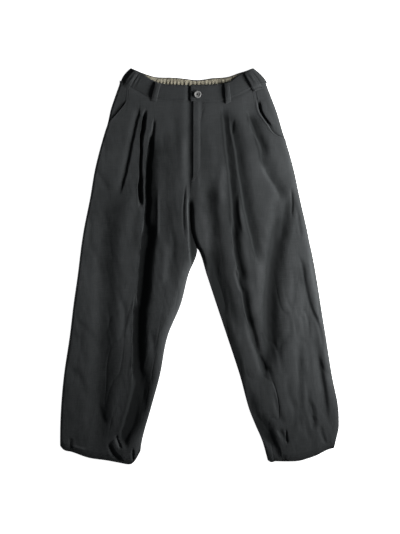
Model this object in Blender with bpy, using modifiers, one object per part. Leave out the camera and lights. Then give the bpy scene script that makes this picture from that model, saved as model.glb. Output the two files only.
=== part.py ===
"""Pleated wide-leg trousers, laid flat on their back.

Sizes are millimetres until the meshes are made. X runs across the trousers, to the right as seen
from above; Y runs from hem to waist; Z is up, away from the surface they lie on. The origin is
below the middle of the outline. "Left" and "right" are as seen from above.

Every cloth piece is an open surface over a few named sections, given its wall by Solidify.
"""
from collections import namedtuple

import bpy
import bmesh
import numpy as np

MM = 0.001

# Cloth
CLOTH_WALL = 1.5
BAND_WALL = 2.4            # a waistband is two layers with a stiffener between them
SEAM_GAP = 0.5             # between neighbours side by side
LAYER_GAP = 0.4            # between layers that lie on each other

# Heights of the top surface above the table
BACK_TOP = CLOTH_WALL
EDGE_TOP = BACK_TOP + SEAM_GAP + CLOTH_WALL
VALLEY_TOP = 3.8           # the bed of the deepest folds
BAND_TOP = 11.0
BAND_EDGE_TOP = 7.4
HIP_TOP = 5.7

# Rounded side edges
OUTER_ROLL = 26.0
INNER_ROLL = 22.0
BAND_ROLL = 24.0
HIP_ROLL = 16.0
EDGE_INSET = 0.2           # a front's rounded edge starts this far in, so that its wall stays whole
BAND_EDGE_INSET = 1.0

# Waist, fly and crotch
CROTCH_Y = 38.0
CROTCH_FADE = 50.0         # the inner edges begin to round over this length at the crotch
CROTCH_SINK = 6.5          # how far the right front dips under the left one above the crotch
CROTCH_SINK_WIDTH = 15.0
FLY_BOTTOM_Y = 192.0
FLY_WIDTH = 25.0
FLY_FADE = 40.0
FLY_RISE = 1.8             # how far the fly's facing lifts the right front
FLY_SINK = 3.0             # how far the left front dips beside the fly's edge
FLY_SINK_WIDTH = 9.0
LEFT_SINK = 0.5            # how far the left front dips below the fly
BACK_SEAM_X = -8.0
WAIST_SEAM_Y = 430.0       # nominal first section, moved onto the waist seam
HIP_Y = 285.0              # from here down the sections no longer follow the waist seam
SHIN_Y = -330.0            # from here down they begin to follow the hem
HEM_Y = -469.0

# Belt loops, button, gathers
LOOP_WIDTH = 14.0
LOOP_WALL = 1.2
LOOP_RISE = 2.2
TUCK_LIFT = 2.3            # from the front's top to the top of a hem tuck
FACING_WALL = 1.2
BUTTON_CENTRE = (-4.7, 406.0)
BUTTON_RADIUS = 8.5
BUTTON_HEIGHT = 3.2
BACK_LOOP_TOP_Y = 440.0
BACK_LOOP_LENGTH = 35.0
GATHER_PITCH = 9.0
GATHER_HEIGHT = 0.75
GATHERED_SIDE = 44.0       # how much of a front band the elastic gathers
GATHER_FADE = 20.0
FACING_RISE = (-0.8, 0, 6) # how much higher up the facing lies, from its top edge to its lower one
FACING_LIFT = 2.3          # from the top of the back waistband to the top of its facing
FACING_ENDS = 12           # how many columns of the back band it stops short of

# One row a section, from waist to hem: where each line of the leg crosses it. "pocket" is the
# front's own outer edge: the pocket mouth down to the hip, and the leg's edge below it.
LeftRow = namedtuple("LeftRow", "y outer pocket pleat_a pleat_b pleat_c soft inner")
LEFT_ROWS = (
    LeftRow(430, -189, -172, -138, -122, -106, -82, -22),
    LeftRow(391, -203, -175, -143, -125, -108, -81, -22),
    LeftRow(370, -210, -189, -146, -127, -109, -81, -22),
    LeftRow(339, -217, -215, -152, -131, -111, -80, -22),
    LeftRow(300, -229, -229, -161, -137, -113, -79, -22),
    LeftRow(230, -247, -247, -175, -139, -120, -77, -22),
    LeftRow(160, -259, -259, -193, -139, -121, -75, -23),
    LeftRow(90, -273, -273, -206, -147, -125, -71, -21),
    LeftRow(38, -281, -281, -210, -150, -129, -70, -8),
    LeftRow(-20, -288, -288, -213, -158, -134, -74, -26),
    LeftRow(-90, -298, -298, -214, -166, -139, -84, -44),
    LeftRow(-165, -307, -307, -216, -172, -142, -98, -75),
    LeftRow(-260, -321, -321, -220, -180, -143, -115, -94),
    LeftRow(-340, -328, -328, -224, -190, -159, -134, -116),
    LeftRow(-412, -330, -330, -224, -200, -180, -152, -136),
    LeftRow(-469, -328, -328, -226, -208, -192, -165, -143),
)
RightRow = namedtuple("RightRow", "y inner shade pleat_a pleat_b pleat_c side pocket outer")
RIGHT_ROWS = (
    RightRow(430, -22, 16, 48, 72, 104, 117, 129, 158),
    RightRow(394, -22, 17, 53, 76, 112, 124, 136, 172),
    RightRow(365, -22, 19, 60, 80, 120, 131, 142, 183),
    RightRow(332, -22, 19, 64, 84, 134, 148, 164, 193),
    RightRow(318, -22, 20, 65, 86, 139, 154, 173, 197),
    RightRow(309, -22, 20, 66, 88, 141, 161, 184, 200),
    RightRow(303, -22, 20, 67, 89, 143, 166, 201, 202),
    RightRow(290, -22, 21, 68, 92, 148, 172, 206, 206),
    RightRow(230, -22, 24, 75, 101, 163, 195, 223, 223),
    RightRow(160, -23, 32, 81, 112, 203, 221, 238, 238),
    RightRow(90, -21, 39, 87, 126, 199, 229, 254, 254),
    RightRow(38, -1, 43, 93, 139, 192, 237, 265, 265),
    RightRow(-20, 17, 47, 103, 147, 188, 246, 276, 276),
    RightRow(-90, 40, 61, 111, 151, 181, 262, 287, 287),
    RightRow(-165, 65, 84, 130, 158, 181, 282, 299, 299),
    RightRow(-260, 96, 112, 160, 171, 185, 290, 314, 314),
    RightRow(-340, 118, 134, 172, 183, 194, 302, 329, 329),
    RightRow(-375, 132, 148, 180, 193, 206, 312, 330, 330),
    RightRow(-412, 148, 166, 190, 204, 218, 308, 323, 323),
    RightRow(-469, 164, 178, 198, 212, 228, 296, 308, 308),
)

# The hip pieces behind the pocket mouths: how far they go in under the front's edge
HipRow = namedtuple("HipRow", "y under")
LEFT_HIP = (HipRow(430, 14), HipRow(410, 14), HipRow(391, 14), HipRow(370, 10), HipRow(355, 4),
            HipRow(345, -0.8))
RIGHT_HIP = (HipRow(430, 14), HipRow(394, 14), HipRow(365, 14), HipRow(340, 12), HipRow(322, 7),
             HipRow(312, 3), HipRow(306, -1))

# Corners of the waist seam and of the hems, from left to right
Point = namedtuple("Point", "x y")
LEFT_SEAM = (Point(-189, 436), Point(-172, 428), Point(-145, 412), Point(-128, 402),
             Point(-103, 395), Point(-60, 391), Point(-22, 389))
RIGHT_SEAM = (Point(-22, 389), Point(13, 389), Point(51, 390), Point(77, 397),
              Point(100, 408), Point(126, 421), Point(140, 428), Point(158, 435))
LEFT_HEM = (Point(-330, -423), Point(-321, -434), Point(-303, -439), Point(-263, -453),
            Point(-217, -460), Point(-190, -465), Point(-165, -469), Point(-154, -461),
            Point(-143, -438))
RIGHT_HEM = (Point(154, -434), Point(159, -449), Point(165, -460), Point(172, -464),
             Point(179, -461.5), Point(198, -462), Point(232, -461), Point(253, -456),
             Point(274, -448), Point(297, -434), Point(318, -428))

# Folds in the leg fronts. A fold follows a line of the table above, moved by shift, from top to
# bottom, fading in and out over fade. Depth is down; a ridge has a negative depth. Left and
# right are its half widths, and a high power gives it a flat bed with steep sides.
Fold = namedtuple("Fold", "line shift top bottom fade depth left right power")
LEFT_FOLDS = (
    Fold("pleat_a", 0, 388, 150, 40, 6.0, 13, 5, 2.0),
    Fold("pleat_a", 9, 384, 190, 40, -2.0, 7, 9, 2.0),
    Fold("pleat_a", 2, 200, -430, 90, 4.2, 19, 21, 2.4),
    Fold("pleat_b", 0, 378, 120, 30, 5.5, 6, 5, 2.2),
    Fold("pleat_b", -4, 150, 20, 50, 2.0, 12, 10, 2.0),
    Fold("pleat_c", 0, 362, 60, 40, 8.0, 7, 8, 2.8),
    Fold("pleat_c", -1, 110, -300, 50, 7.5, 12, 15, 3.0),
    Fold("pleat_c", 4, -260, -430, 60, 3.5, 10, 14, 2.0),
    Fold("pleat_c", 24, 330, -120, 60, -2.2, 9, 10, 2.0),
    Fold("pleat_b", -24, 60, -350, 90, -2.5, 20, 20, 2.0),
    Fold("soft", 0, 345, -60, 60, 2.6, 13, 12, 2.0),
    Fold("soft", 28, 200, -80, 60, -1.2, 16, 14, 2.0),
)
RIGHT_FOLDS = (
    Fold("shade", 0, 300, -60, 70, 3.8, 12, 12, 2.4),
    Fold("shade", 8, -40, -300, 60, 3.0, 14, 16, 2.0),
    Fold("pleat_a", 0, 384, 20, 40, 5.5, 4, 10, 2.0),
    Fold("pleat_a", 2, 90, -120, 50, 6.0, 6, 9, 2.6),
    Fold("pleat_a", 0, -100, -270, 50, 2.5, 8, 8, 2.0),
    Fold("pleat_b", 0, 370, 30, 40, 4.2, 4, 12, 2.0),
    Fold("pleat_c", 2, 372, 225, 30, 4.0, 8, 16, 2.4),
    Fold("pleat_c", -22, 370, 110, 60, -1.5, 16, 14, 2.0),
    Fold("pleat_c", 0, 190, -330, 60, 5.8, 17, 14, 2.6),
    Fold("pleat_c", 34, 150, -400, 70, -1.8, 18, 20, 2.0),
    Fold("side", 0, 40, -400, 70, 2.6, 12, 9, 2.0),
    Fold("pleat_b", -12, 20, -420, 80, -1.5, 14, 14, 2.0),
    Fold("shade", 14, -340, -440, 40, 3.0, 20, 10, 2.4),
)

# How high the middle of a leg stands, from waist to hem
Puff = namedtuple("Puff", "y top")
PUFF_ROWS = (Puff(430, 9.0), Puff(330, 10.0), Puff(200, 11.5), Puff(60, 11.5), Puff(-100, 10.5),
             Puff(-250, 9.0), Puff(-380, 7.5), Puff(-469, 6.0))

# Columns of a front's mesh: a part of the way from one line to the next, then a shift
Column = namedtuple("Column", "line next_line part shift")
LEFT_COLUMNS = (
    Column("pocket", "pleat_a", 0, 0), Column("pocket", "pleat_a", 0, 1.6),
    Column("pocket", "pleat_a", 0, 6), Column("pocket", "pleat_a", 0.25, 4),
    Column("pocket", "pleat_a", 0.5, 2), Column("pocket", "pleat_a", 0.75, -3),
    Column("pleat_a", "pleat_b", 0, -7), Column("pleat_a", "pleat_b", 0, 0),
    Column("pleat_a", "pleat_b", 0, 5), Column("pleat_a", "pleat_b", 0.5, 0),
    Column("pleat_b", "pleat_c", 0, -5), Column("pleat_b", "pleat_c", 0, 0),
    Column("pleat_b", "pleat_c", 0, 5), Column("pleat_c", "soft", 0, -9),
    Column("pleat_c", "soft", 0, -4), Column("pleat_c", "soft", 0, 4),
    Column("pleat_c", "soft", 0, 10), Column("pleat_c", "soft", 0.55, 0),
    Column("soft", "inner", 0, 0), Column("soft", "inner", 0.3, 0),
    Column("soft", "inner", 0.58, 0), Column("soft", "inner", 0.8, 0),
    Column("soft", "inner", 0.94, 0), Column("soft", "inner", 1, 0),
)
RIGHT_COLUMNS = (
    Column("inner", "shade", 0, 0), Column("inner", "shade", 0.06, 0),
    Column("inner", "shade", 0.25, 0), Column("inner", "shade", 0.6, 0),
    Column("shade", "pleat_a", 0, 0), Column("shade", "pleat_a", 0.4, 0),
    Column("shade", "pleat_a", 0.75, 0), Column("pleat_a", "pleat_b", 0, -4),
    Column("pleat_a", "pleat_b", 0, 0), Column("pleat_a", "pleat_b", 0, 6),
    Column("pleat_b", "pleat_c", 0, -5), Column("pleat_b", "pleat_c", 0, 0),
    Column("pleat_b", "pleat_c", 0, 7), Column("pleat_b", "pleat_c", 0.5, 0),
    Column("pleat_c", "side", 0, -12), Column("pleat_c", "side", 0, -3),
    Column("pleat_c", "side", 0, 7), Column("pleat_c", "side", 0.4, 6),
    Column("pleat_c", "side", 0.72, 0), Column("side", "pocket", 0, 0),
    Column("side", "pocket", 0.4, 0), Column("side", "pocket", 0.75, 0),
    Column("side", "pocket", 0.94, 0), Column("side", "pocket", 1, 0),
)
SECTIONS = (430, 416, 400, 382, 362, 340, 318, 295, 270, 240, 205, 170, 135, 100, 70, 48, 30, 5,
            -30, -70, -110, -150, -190, -230, -270, -305, -335, -362, -388, -412, -432, -450, -469)
BACK_SECTIONS = (430, 405, 375, 340, 300, 250, 200, 150, 100, 65, 38, 0, -50, -100, -160, -220,
                 -280, -330, -375, -410, -440, -469)
BACK_PARTS = (0, 0.06, 0.13, 0.4, 0.7, 0.88, 0.95, 1)    # columns from the side to the centre
HIP_PARTS = (0, 0.06, 0.3, 0.65, 1)

# The waistbands, in columns from left to right: their top edge and the seam below it
BandColumn = namedtuple("BandColumn", "top_x top_y seam_x seam_y")
BAND_LEFT = (
    BandColumn(-162, 469, -186, 437), BandColumn(-148, 461, -171, 429),
    BandColumn(-129, 452, -145, 413), BandColumn(-117, 443, -128, 403),
    BandColumn(-94, 433, -103, 396), BandColumn(-58, 429, -60, 392),
    BandColumn(-22.5, 428, -22.5, 390),
)
BAND_RIGHT = (
    BandColumn(-22, 428, -22, 390), BandColumn(13, 429, 13, 390), BandColumn(49, 431, 51, 391),
    BandColumn(72, 437, 77, 398), BandColumn(86, 448, 100, 409), BandColumn(105, 459, 126, 422),
    BandColumn(116, 464, 141, 428), BandColumn(127, 469, 160, 434),
)
BAND_BACK = (
    BandColumn(-162, 469, -189, 436), BandColumn(-131, 456, -146, 421),
    BandColumn(-98, 447, -106, 410), BandColumn(-58, 446, -60, 409),
    BandColumn(-30, 443, -31, 406), BandColumn(-8, 440.5, -8, 403), BandColumn(8, 441.5, 8, 404),
    BandColumn(30, 445, 32, 407), BandColumn(67, 448, 73, 410), BandColumn(90, 456, 104, 421),
    BandColumn(112, 463, 135, 430), BandColumn(127, 469, 158, 436),
)
FRONT_BAND_PITCH = 4.5     # from column to column of the mesh
BACK_BAND_PITCH = 3.0
BAND_FADE = 12.0           # the back band's gathers fade over this length at its ends
UNDERLAP = 1.2             # how much lower the left band lies than the right one at the fly

# Belt loops: how far along its band each is, and its width
Loop = namedtuple("Loop", "name along width")
LEFT_LOOPS = (Loop("loop_side_left", 17, LOOP_WIDTH), Loop("loop_front_left", 81, LOOP_WIDTH))
RIGHT_LOOPS = (Loop("loop_front_right", 88, LOOP_WIDTH - 1),
               Loop("loop_side_right", 152, LOOP_WIDTH + 6))
LOOP_BELOW_SEAM = 0.13     # how far a loop goes on below the seam, as a share of the band

# Each hem tuck is a folded strip between two edges: (x, y) pairs from its upper to its lower end
TuckRow = namedtuple("TuckRow", "left_x left_y right_x right_y")
TUCK_LEFT = (TuckRow(-212, -421, -193, -404), TuckRow(-203, -431, -183, -423),
             TuckRow(-191, -444, -172, -434), TuckRow(-177, -461, -160, -444))
TUCK_RIGHT = (TuckRow(170, -385, 180, -378), TuckRow(182, -412, 195, -408),
              TuckRow(192, -432, 206, -432), TuckRow(196, -455, 213, -456))

# The button's profile, as shares of its radius and of its height, from its middle round to its
# underside
ProfileRow = namedtuple("ProfileRow", "radius height")
BUTTON_PROFILE = (
    ProfileRow(0.35, 0.72), ProfileRow(0.60, 0.75), ProfileRow(0.72, 0.97), ProfileRow(0.86, 1.0),
    ProfileRow(0.97, 0.84), ProfileRow(1.0, 0.62), ProfileRow(0.96, 0.16), ProfileRow(0.84, 0),
)

CHARCOAL = (0.030, 0.033, 0.035)
CREAM = (0.55, 0.50, 0.36)
GREY = (0.32, 0.32, 0.31)


def clear_scene():
    for item in list(bpy.data.objects):
        bpy.data.objects.remove(item, do_unlink=True)


def material(name, colour, roughness):
    made = bpy.data.materials.new(name)
    made.use_nodes = True
    shader = made.node_tree.nodes["Principled BSDF"]
    shader.inputs["Base Color"].default_value = (*colour, 1)
    shader.inputs["Roughness"].default_value = roughness
    shader.inputs["Metallic"].default_value = 0
    return made


def curve(knots, values):
    """A smooth curve through the points of a table, which never swings past them."""
    order = np.argsort(knots)
    t = np.asarray(knots, float)[order]
    v = np.asarray(values, float)[order]
    step = np.diff(v) / np.diff(t)
    slope = np.concatenate([step[:1], 0.5 * (step[1:] + step[:-1]), step[-1:]])
    least = np.minimum(np.abs(step[1:]), np.abs(step[:-1]))
    steepest = np.where(step[1:] * step[:-1] > 0, 3 * least, 0)
    slope[1:-1] = np.clip(slope[1:-1], -steepest, steepest)

    def at(x):
        x = np.clip(x, t[0], t[-1])
        i = np.clip(np.searchsorted(t, x) - 1, 0, len(t) - 2)
        h = t[i + 1] - t[i]
        s = (x - t[i]) / h
        return ((2 * s**3 - 3 * s**2 + 1) * v[i] + (s**3 - 2 * s**2 + s) * h * slope[i]
                + (3 * s**2 - 2 * s**3) * v[i + 1] + (s**3 - s**2) * h * slope[i + 1])
    return at


def table_lines(rows):
    """Each column of a section table as a function of y."""
    y = [row.y for row in rows]
    return {name: curve(y, [getattr(row, name) for row in rows]) for name in rows[0]._fields[1:]}


def polyline(points):
    """The height of a row of corners, as a function of x."""
    xs = [point.x for point in points]
    ys = [point.y for point in points]
    return lambda x: np.interp(x, xs, ys)


def ease(s):
    """0 below 0, 1 above 1, and smooth between."""
    s = np.clip(s, 0, 1)
    return s * s * (3 - 2 * s)


def quarter_round(distance, width):
    """Rises from 0 at an edge to 1 at width, as a quarter of an ellipse does."""
    s = 1 - np.clip(distance / width, 0, 1)
    return np.sqrt(np.clip(1 - s * s, 0, 1))


puff = curve([row.y for row in PUFF_ROWS], [row.top for row in PUFF_ROWS])


class Leg:
    """One leg: its lines, its waist seam and hem, and the height of its front."""

    def __init__(self, rows, seam, hem, folds, outer_sign):
        self.lines = table_lines(rows)
        self.seam = polyline(seam)
        self.hem = polyline(hem)
        self.folds = folds
        self.outer_sign = outer_sign

    def relief(self, x, y):
        """How far the folds lower the cloth at a point."""
        total = np.zeros_like(x)
        for fold in self.folds:
            along = ease((fold.top - y) / fold.fade) * ease((y - fold.bottom) / fold.fade)
            across = x - self.lines[fold.line](y) - fold.shift
            width = np.where(across < 0, fold.left, fold.right)
            total += fold.depth * along * np.exp(-np.abs(across / width) ** fold.power)
        return total

    def front_top(self, x, y):
        """Top of the front panel: its puff, less its folds, rolled down at the leg's edges."""
        from_outer = self.outer_sign * (self.lines["outer"](y) - x)
        from_inner = self.outer_sign * (x - self.lines["inner"](y))
        top = puff(y) - self.relief(x, y)
        below_crotch = ease((CROTCH_Y + CROTCH_FADE / 2 - y) / CROTCH_FADE)
        roll = quarter_round(from_outer + EDGE_INSET, OUTER_ROLL)
        roll *= 1 - below_crotch * (1 - quarter_round(from_inner + EDGE_INSET, INNER_ROLL))
        top += self.centre_step(from_inner, y)
        over = top - VALLEY_TOP
        top = VALLEY_TOP + 0.5 * (over + np.sqrt(over * over + 1.0))
        return EDGE_TOP + (top - EDGE_TOP) * roll

    def centre_step(self, from_inner, y):
        """The fly: the right front stands over the left one, and below it the left front
        stands over the right one down to the crotch."""
        fly = ease((y - FLY_BOTTOM_Y + FLY_FADE / 2) / FLY_FADE)
        below = ease((FLY_BOTTOM_Y - 25 - y) / FLY_FADE) * ease((y - CROTCH_Y + 60) / 60)
        if self.outer_sign > 0:
            strip = ease((FLY_WIDTH - from_inner) / 6)
            sink = CROTCH_SINK * np.exp(-(from_inner / CROTCH_SINK_WIDTH) ** 2)
            return fly * FLY_RISE * strip - below * sink
        return -fly * FLY_SINK * np.exp(-(from_inner / FLY_SINK_WIDTH) ** 2) - below * LEFT_SINK


left_leg = Leg(LEFT_ROWS, LEFT_SEAM, LEFT_HEM, LEFT_FOLDS, -1)
right_leg = Leg(RIGHT_ROWS, RIGHT_SEAM, RIGHT_HEM, RIGHT_FOLDS, 1)


def fitted_y(leg, x, y):
    """Moves a section's y so that the first follows the waist seam and the last the hem."""
    upper = HIP_Y + (y - HIP_Y) / (WAIST_SEAM_Y - HIP_Y) * (leg.seam(x) - SEAM_GAP - HIP_Y)
    lower = SHIN_Y + (y - SHIN_Y) / (HEM_Y - SHIN_Y) * (leg.hem(x) - SHIN_Y)
    return np.where(y > HIP_Y, upper, np.where(y < SHIN_Y, lower, y))


def panel_points(leg, sections, columns_at):
    """Rows of (x, y) over a leg, one row a section."""
    rows = []
    for section in sections:
        y = np.full_like(columns_at(np.array(float(section))), float(section))
        for _ in range(3):
            x = columns_at(y)
            y = fitted_y(leg, x, np.full_like(x, float(section)))
        rows.append((x, y))
    xs = np.array([row[0] for row in rows])
    ys = np.array([row[1] for row in rows])
    return xs, ys


def spread(x, least=1.0):
    """Keeps neighbouring columns at least that far apart, inside the two edges."""
    first, last = x[0], x[-1]
    for i in range(1, len(x)):
        x[i] = max(x[i], x[i - 1] + least)
    if x[-1] > last:
        x = first + (x - first) * (last - first) / (x[-1] - first)
    return x


def front_columns(leg, columns):
    def at(y):
        y = np.broadcast_to(y, (len(columns),))
        x = np.empty(len(columns))
        for i, column in enumerate(columns):
            start = leg.lines[column.line](y[i])
            end = leg.lines[column.next_line](y[i])
            x[i] = start + (end - start) * column.part + column.shift
        return spread(x)
    return at


def cloth(name, xs, ys, zs, wall, look):
    """An object from rows of points on a piece's top, with its wall below them."""
    rows, columns = xs.shape
    points = np.stack([xs, ys, zs], axis=-1).reshape(-1, 3) * MM
    faces = []
    for r in range(rows - 1):
        for c in range(columns - 1):
            corner = r * columns + c
            faces.append((corner, corner + columns, corner + columns + 1, corner + 1))
    mesh = bpy.data.meshes.new(name)
    mesh.from_pydata([tuple(point) for point in points], [], faces)
    return shell(name, mesh, wall, look)


def shell(name, mesh, wall, look):
    item = bpy.data.objects.new(name, mesh)
    garment.objects.link(item)
    mesh.materials.append(look)
    mesh.shade_smooth()
    solid = item.modifiers.new("Wall", "SOLIDIFY")
    solid.thickness = wall * MM
    solid.offset = -1
    return item


def build_front(name, leg, columns):
    xs, ys = panel_points(leg, SECTIONS, front_columns(leg, columns))
    if leg.outer_sign < 0:
        xs[:, -1] -= SEAM_GAP
    cloth(name, xs, ys, leg.front_top(xs, ys), CLOTH_WALL, linen)


def build_back(name, leg, other_edge):
    """A back panel, flat on the table from the side edge to the centre seam or inner edge."""
    parts = np.array(BACK_PARTS)[::-leg.outer_sign]

    def columns_at(y):
        y = np.broadcast_to(y, parts.shape)
        outer = leg.lines["outer"](y)
        return outer + (other_edge(y) - outer) * parts

    xs, ys = panel_points(leg, BACK_SECTIONS, columns_at)
    ys[0] = back_seam(xs[0]) - SEAM_GAP
    cloth(name, xs, ys, np.full_like(xs, BACK_TOP), CLOTH_WALL, linen)


def back_seam(x):
    xs = [column.seam_x for column in BAND_BACK]
    return np.interp(x, xs, [column.seam_y for column in BAND_BACK])


def back_centre(leg, side):
    """The centre back seam down to the crotch, and the leg's inner edge below it."""
    def at(y):
        inner = leg.lines["inner"](y)
        seam = BACK_SEAM_X + side * SEAM_GAP / 2
        mix = ease((y - CROTCH_Y) / 60)
        return inner + (seam - inner) * mix
    return at


class Band:
    """A waistband as a surface: how far along it from its left end, and how far down (0 to 1)."""

    def __init__(self, columns, side, top):
        top_x, top_y, seam_x, seam_y = np.array(columns).T
        steps = np.hypot(np.diff(top_x + seam_x), np.diff(top_y + seam_y)) / 2
        knots = np.concatenate([[0], np.cumsum(steps)])
        self.length = knots[-1]
        self.upper = (curve(knots, top_x), curve(knots, top_y))
        self.lower = (curve(knots, seam_x), curve(knots, seam_y))
        self.side = side
        self.top = top

    def place(self, along, down):
        """Where a point of the band lies, seen from above."""
        x, y = (high(along) + (low(along) - high(along)) * down
                for high, low in zip(self.upper, self.lower))
        return x, y

    def height(self, along, down):
        """Top of a front band: nearly flat, gathered by the elastic and rolled at its side."""
        from_side = along if self.side < 0 else self.length - along
        roll = quarter_round(from_side + BAND_EDGE_INSET, BAND_ROLL)
        top = self.top - 0.6 * (2 * down - 1) ** 2
        near_side = ease((GATHERED_SIDE - from_side) / GATHER_FADE)
        return (BAND_EDGE_TOP + (top - BAND_EDGE_TOP) * roll
                + near_side * roll * gathers(along, down, GATHER_HEIGHT))

    def grid(self, pitch, rows):
        along = np.linspace(0, self.length, int(self.length / pitch) + 1)
        return along, np.linspace(0, 1, rows)[:, None]


def gathers(along, down, height):
    """Waves that the elastic draws the cloth into, uneven along the band."""
    wave = np.sin(2 * np.pi * along / GATHER_PITCH + 1.3 * np.sin(along / 17.0))
    return height * wave * (0.55 + 0.45 * np.cos(2 * np.pi * (down - 0.5)))


left_band = Band(BAND_LEFT, -1, BAND_TOP - UNDERLAP)
right_band = Band(BAND_RIGHT, 1, BAND_TOP)
back_band = Band(BAND_BACK, 0, 0)


def build_front_band(name, band):
    along, down = band.grid(FRONT_BAND_PITCH, 4)
    xs, ys = band.place(along, down)
    cloth(name, xs, ys, band.height(along, down), BAND_WALL, linen)


def build_back_band():
    along, down = back_band.grid(BACK_BAND_PITCH, len(FACING_RISE))
    xs, ys = back_band.place(along, down)
    fade = ease(along / BAND_FADE) * ease((back_band.length - along) / BAND_FADE)
    zs = LOOP_WALL + LAYER_GAP + CLOTH_WALL + GATHER_HEIGHT
    zs = zs + fade * gathers(along, down, GATHER_HEIGHT)
    cloth("band_back", xs, ys, zs, CLOTH_WALL, linen)
    inside = slice(FACING_ENDS, -FACING_ENDS)
    higher = np.array(FACING_RISE)[:, None]
    cloth("band_facing", xs[:, inside], ys[:, inside] + higher, zs[:, inside] + FACING_LIFT,
          FACING_WALL, facing)


def build_hip(name, leg, rows):
    """The piece behind a pocket mouth, from under the front's edge out to the side."""
    parts = np.array(HIP_PARTS)[::-leg.outer_sign]
    upward = rows[::-1]

    def columns_at(y):
        y = np.broadcast_to(y, parts.shape)
        under = np.interp(y, [row.y for row in upward], [row.under for row in upward])
        outer = leg.lines["outer"](y)
        return outer + (leg.lines["pocket"](y) - leg.outer_sign * under - outer) * parts

    xs, ys = panel_points(leg, [row.y for row in rows], columns_at)
    from_outer = np.abs(xs - leg.lines["outer"](ys))
    zs = EDGE_TOP + (HIP_TOP - EDGE_TOP) * quarter_round(from_outer, HIP_ROLL)
    cloth(name, xs, ys, zs, CLOTH_WALL, linen)


def build_loop(loop, band, leg):
    """A strap from the band's upper edge to below its seam, arched so that a belt passes under
    it. Its points are the band's and the front's, moved out."""
    down = np.linspace(0.01, 1 + LOOP_BELOW_SEAM, 11)[:, None]
    along = loop.along + np.array([-0.5, 0, 0.5]) * loop.width
    xs, ys = band.place(along, down)
    on_band = band.height(along, np.minimum(down, 1))
    on_front = leg.front_top(xs, ys)
    under = on_band + (np.minimum(on_front, on_band) - on_band) * ease((down - 1.02) / 0.06)
    arch = np.sqrt(np.clip(np.sin(np.pi * down / (1 + LOOP_BELOW_SEAM)), 0, 1))
    cloth(loop.name, xs, ys, under + LAYER_GAP + LOOP_WALL + LOOP_RISE * arch, LOOP_WALL, linen)


def build_back_loop():
    """The centre back loop, flat between the back waistband and the table."""
    xs = np.array([[-1, 1]] * 2) * LOOP_WIDTH / 2 + BACK_SEAM_X
    ys = BACK_LOOP_TOP_Y - BACK_LOOP_LENGTH * np.array([[0, 0], [1, 1]])
    cloth("loop_back", xs, ys, np.full_like(xs, LOOP_WALL), LOOP_WALL, linen)


def build_button():
    """A turned disc with a raised rim and a dished middle."""
    mesh = bpy.data.meshes.new("button")
    work = bmesh.new()
    corners = [work.verts.new((row.radius * BUTTON_RADIUS * MM, 0, row.height * BUTTON_HEIGHT * MM))
               for row in BUTTON_PROFILE]
    for a, b in zip(corners, corners[1:]):
        work.edges.new((a, b))
    bmesh.ops.spin(work, geom=work.verts[:] + work.edges[:], cent=(0, 0, 0), axis=(0, 0, 1),
                   angle=2 * np.pi, steps=24, use_merge=True)
    bmesh.ops.remove_doubles(work, verts=work.verts[:], dist=1e-6)
    bmesh.ops.holes_fill(work, edges=work.edges[:], sides=0)
    bmesh.ops.recalc_face_normals(work, faces=work.faces[:])
    work.to_mesh(mesh)
    work.free()
    mesh.materials.append(horn)
    item = bpy.data.objects.new("button", mesh)
    item.location = (BUTTON_CENTRE[0] * MM, BUTTON_CENTRE[1] * MM, (BAND_TOP + LAYER_GAP) * MM)
    garment.objects.link(item)


def build_tuck(name, leg, rows):
    """A folded strip on a leg's front, from the front's own points, moved out."""
    left_x, left_y, right_x, right_y = np.array(rows, float).T
    knots = np.linspace(0, 1, len(rows))
    steps = np.linspace(0, 1, 9)
    part = np.linspace(0, 1, 4)
    left = [curve(knots, values)(steps)[:, None] for values in (left_x, left_y)]
    right = [curve(knots, values)(steps)[:, None] for values in (right_x, right_y)]
    xs, ys = (a + (b - a) * part for a, b in zip(left, right))
    cloth(name, xs, ys, leg.front_top(xs, ys) + TUCK_LIFT, CLOTH_WALL, linen)


clear_scene()
garment = bpy.data.collections.new("pleated_trousers")
bpy.context.scene.collection.children.link(garment)
linen = material("charcoal linen", CHARCOAL, 0.9)
facing = material("patterned facing", CREAM, 0.9)
horn = material("grey button", GREY, 0.45)

build_front("front_left", left_leg, LEFT_COLUMNS)
build_front("front_right", right_leg, RIGHT_COLUMNS)
build_back("back_left", left_leg, back_centre(left_leg, -1))
build_back("back_right", right_leg, back_centre(right_leg, 1))
build_hip("hip_left", left_leg, LEFT_HIP)
build_hip("hip_right", right_leg, RIGHT_HIP)
build_front_band("band_left", left_band)
build_front_band("band_right", right_band)
build_back_band()
build_tuck("hem_tuck_left", left_leg, TUCK_LEFT)
build_tuck("hem_tuck_right", right_leg, TUCK_RIGHT)
build_back_loop()
build_button()
for loop in LEFT_LOOPS:
    build_loop(loop, left_band, left_leg)
for loop in RIGHT_LOOPS:
    build_loop(loop, right_band, right_leg)
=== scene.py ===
"""The look of the pleated wide-leg trousers, laid flat on their back.

Sizes are millimetres until the meshes are made. X runs to the right as seen from above, Y from hem
to waist and Z up from the table; "left" and "right" are as seen from above. Each piece of
cloth is a thin closed sheet, made from the tables of lines, folds and creases.
"""
from collections import namedtuple
import math

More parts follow.
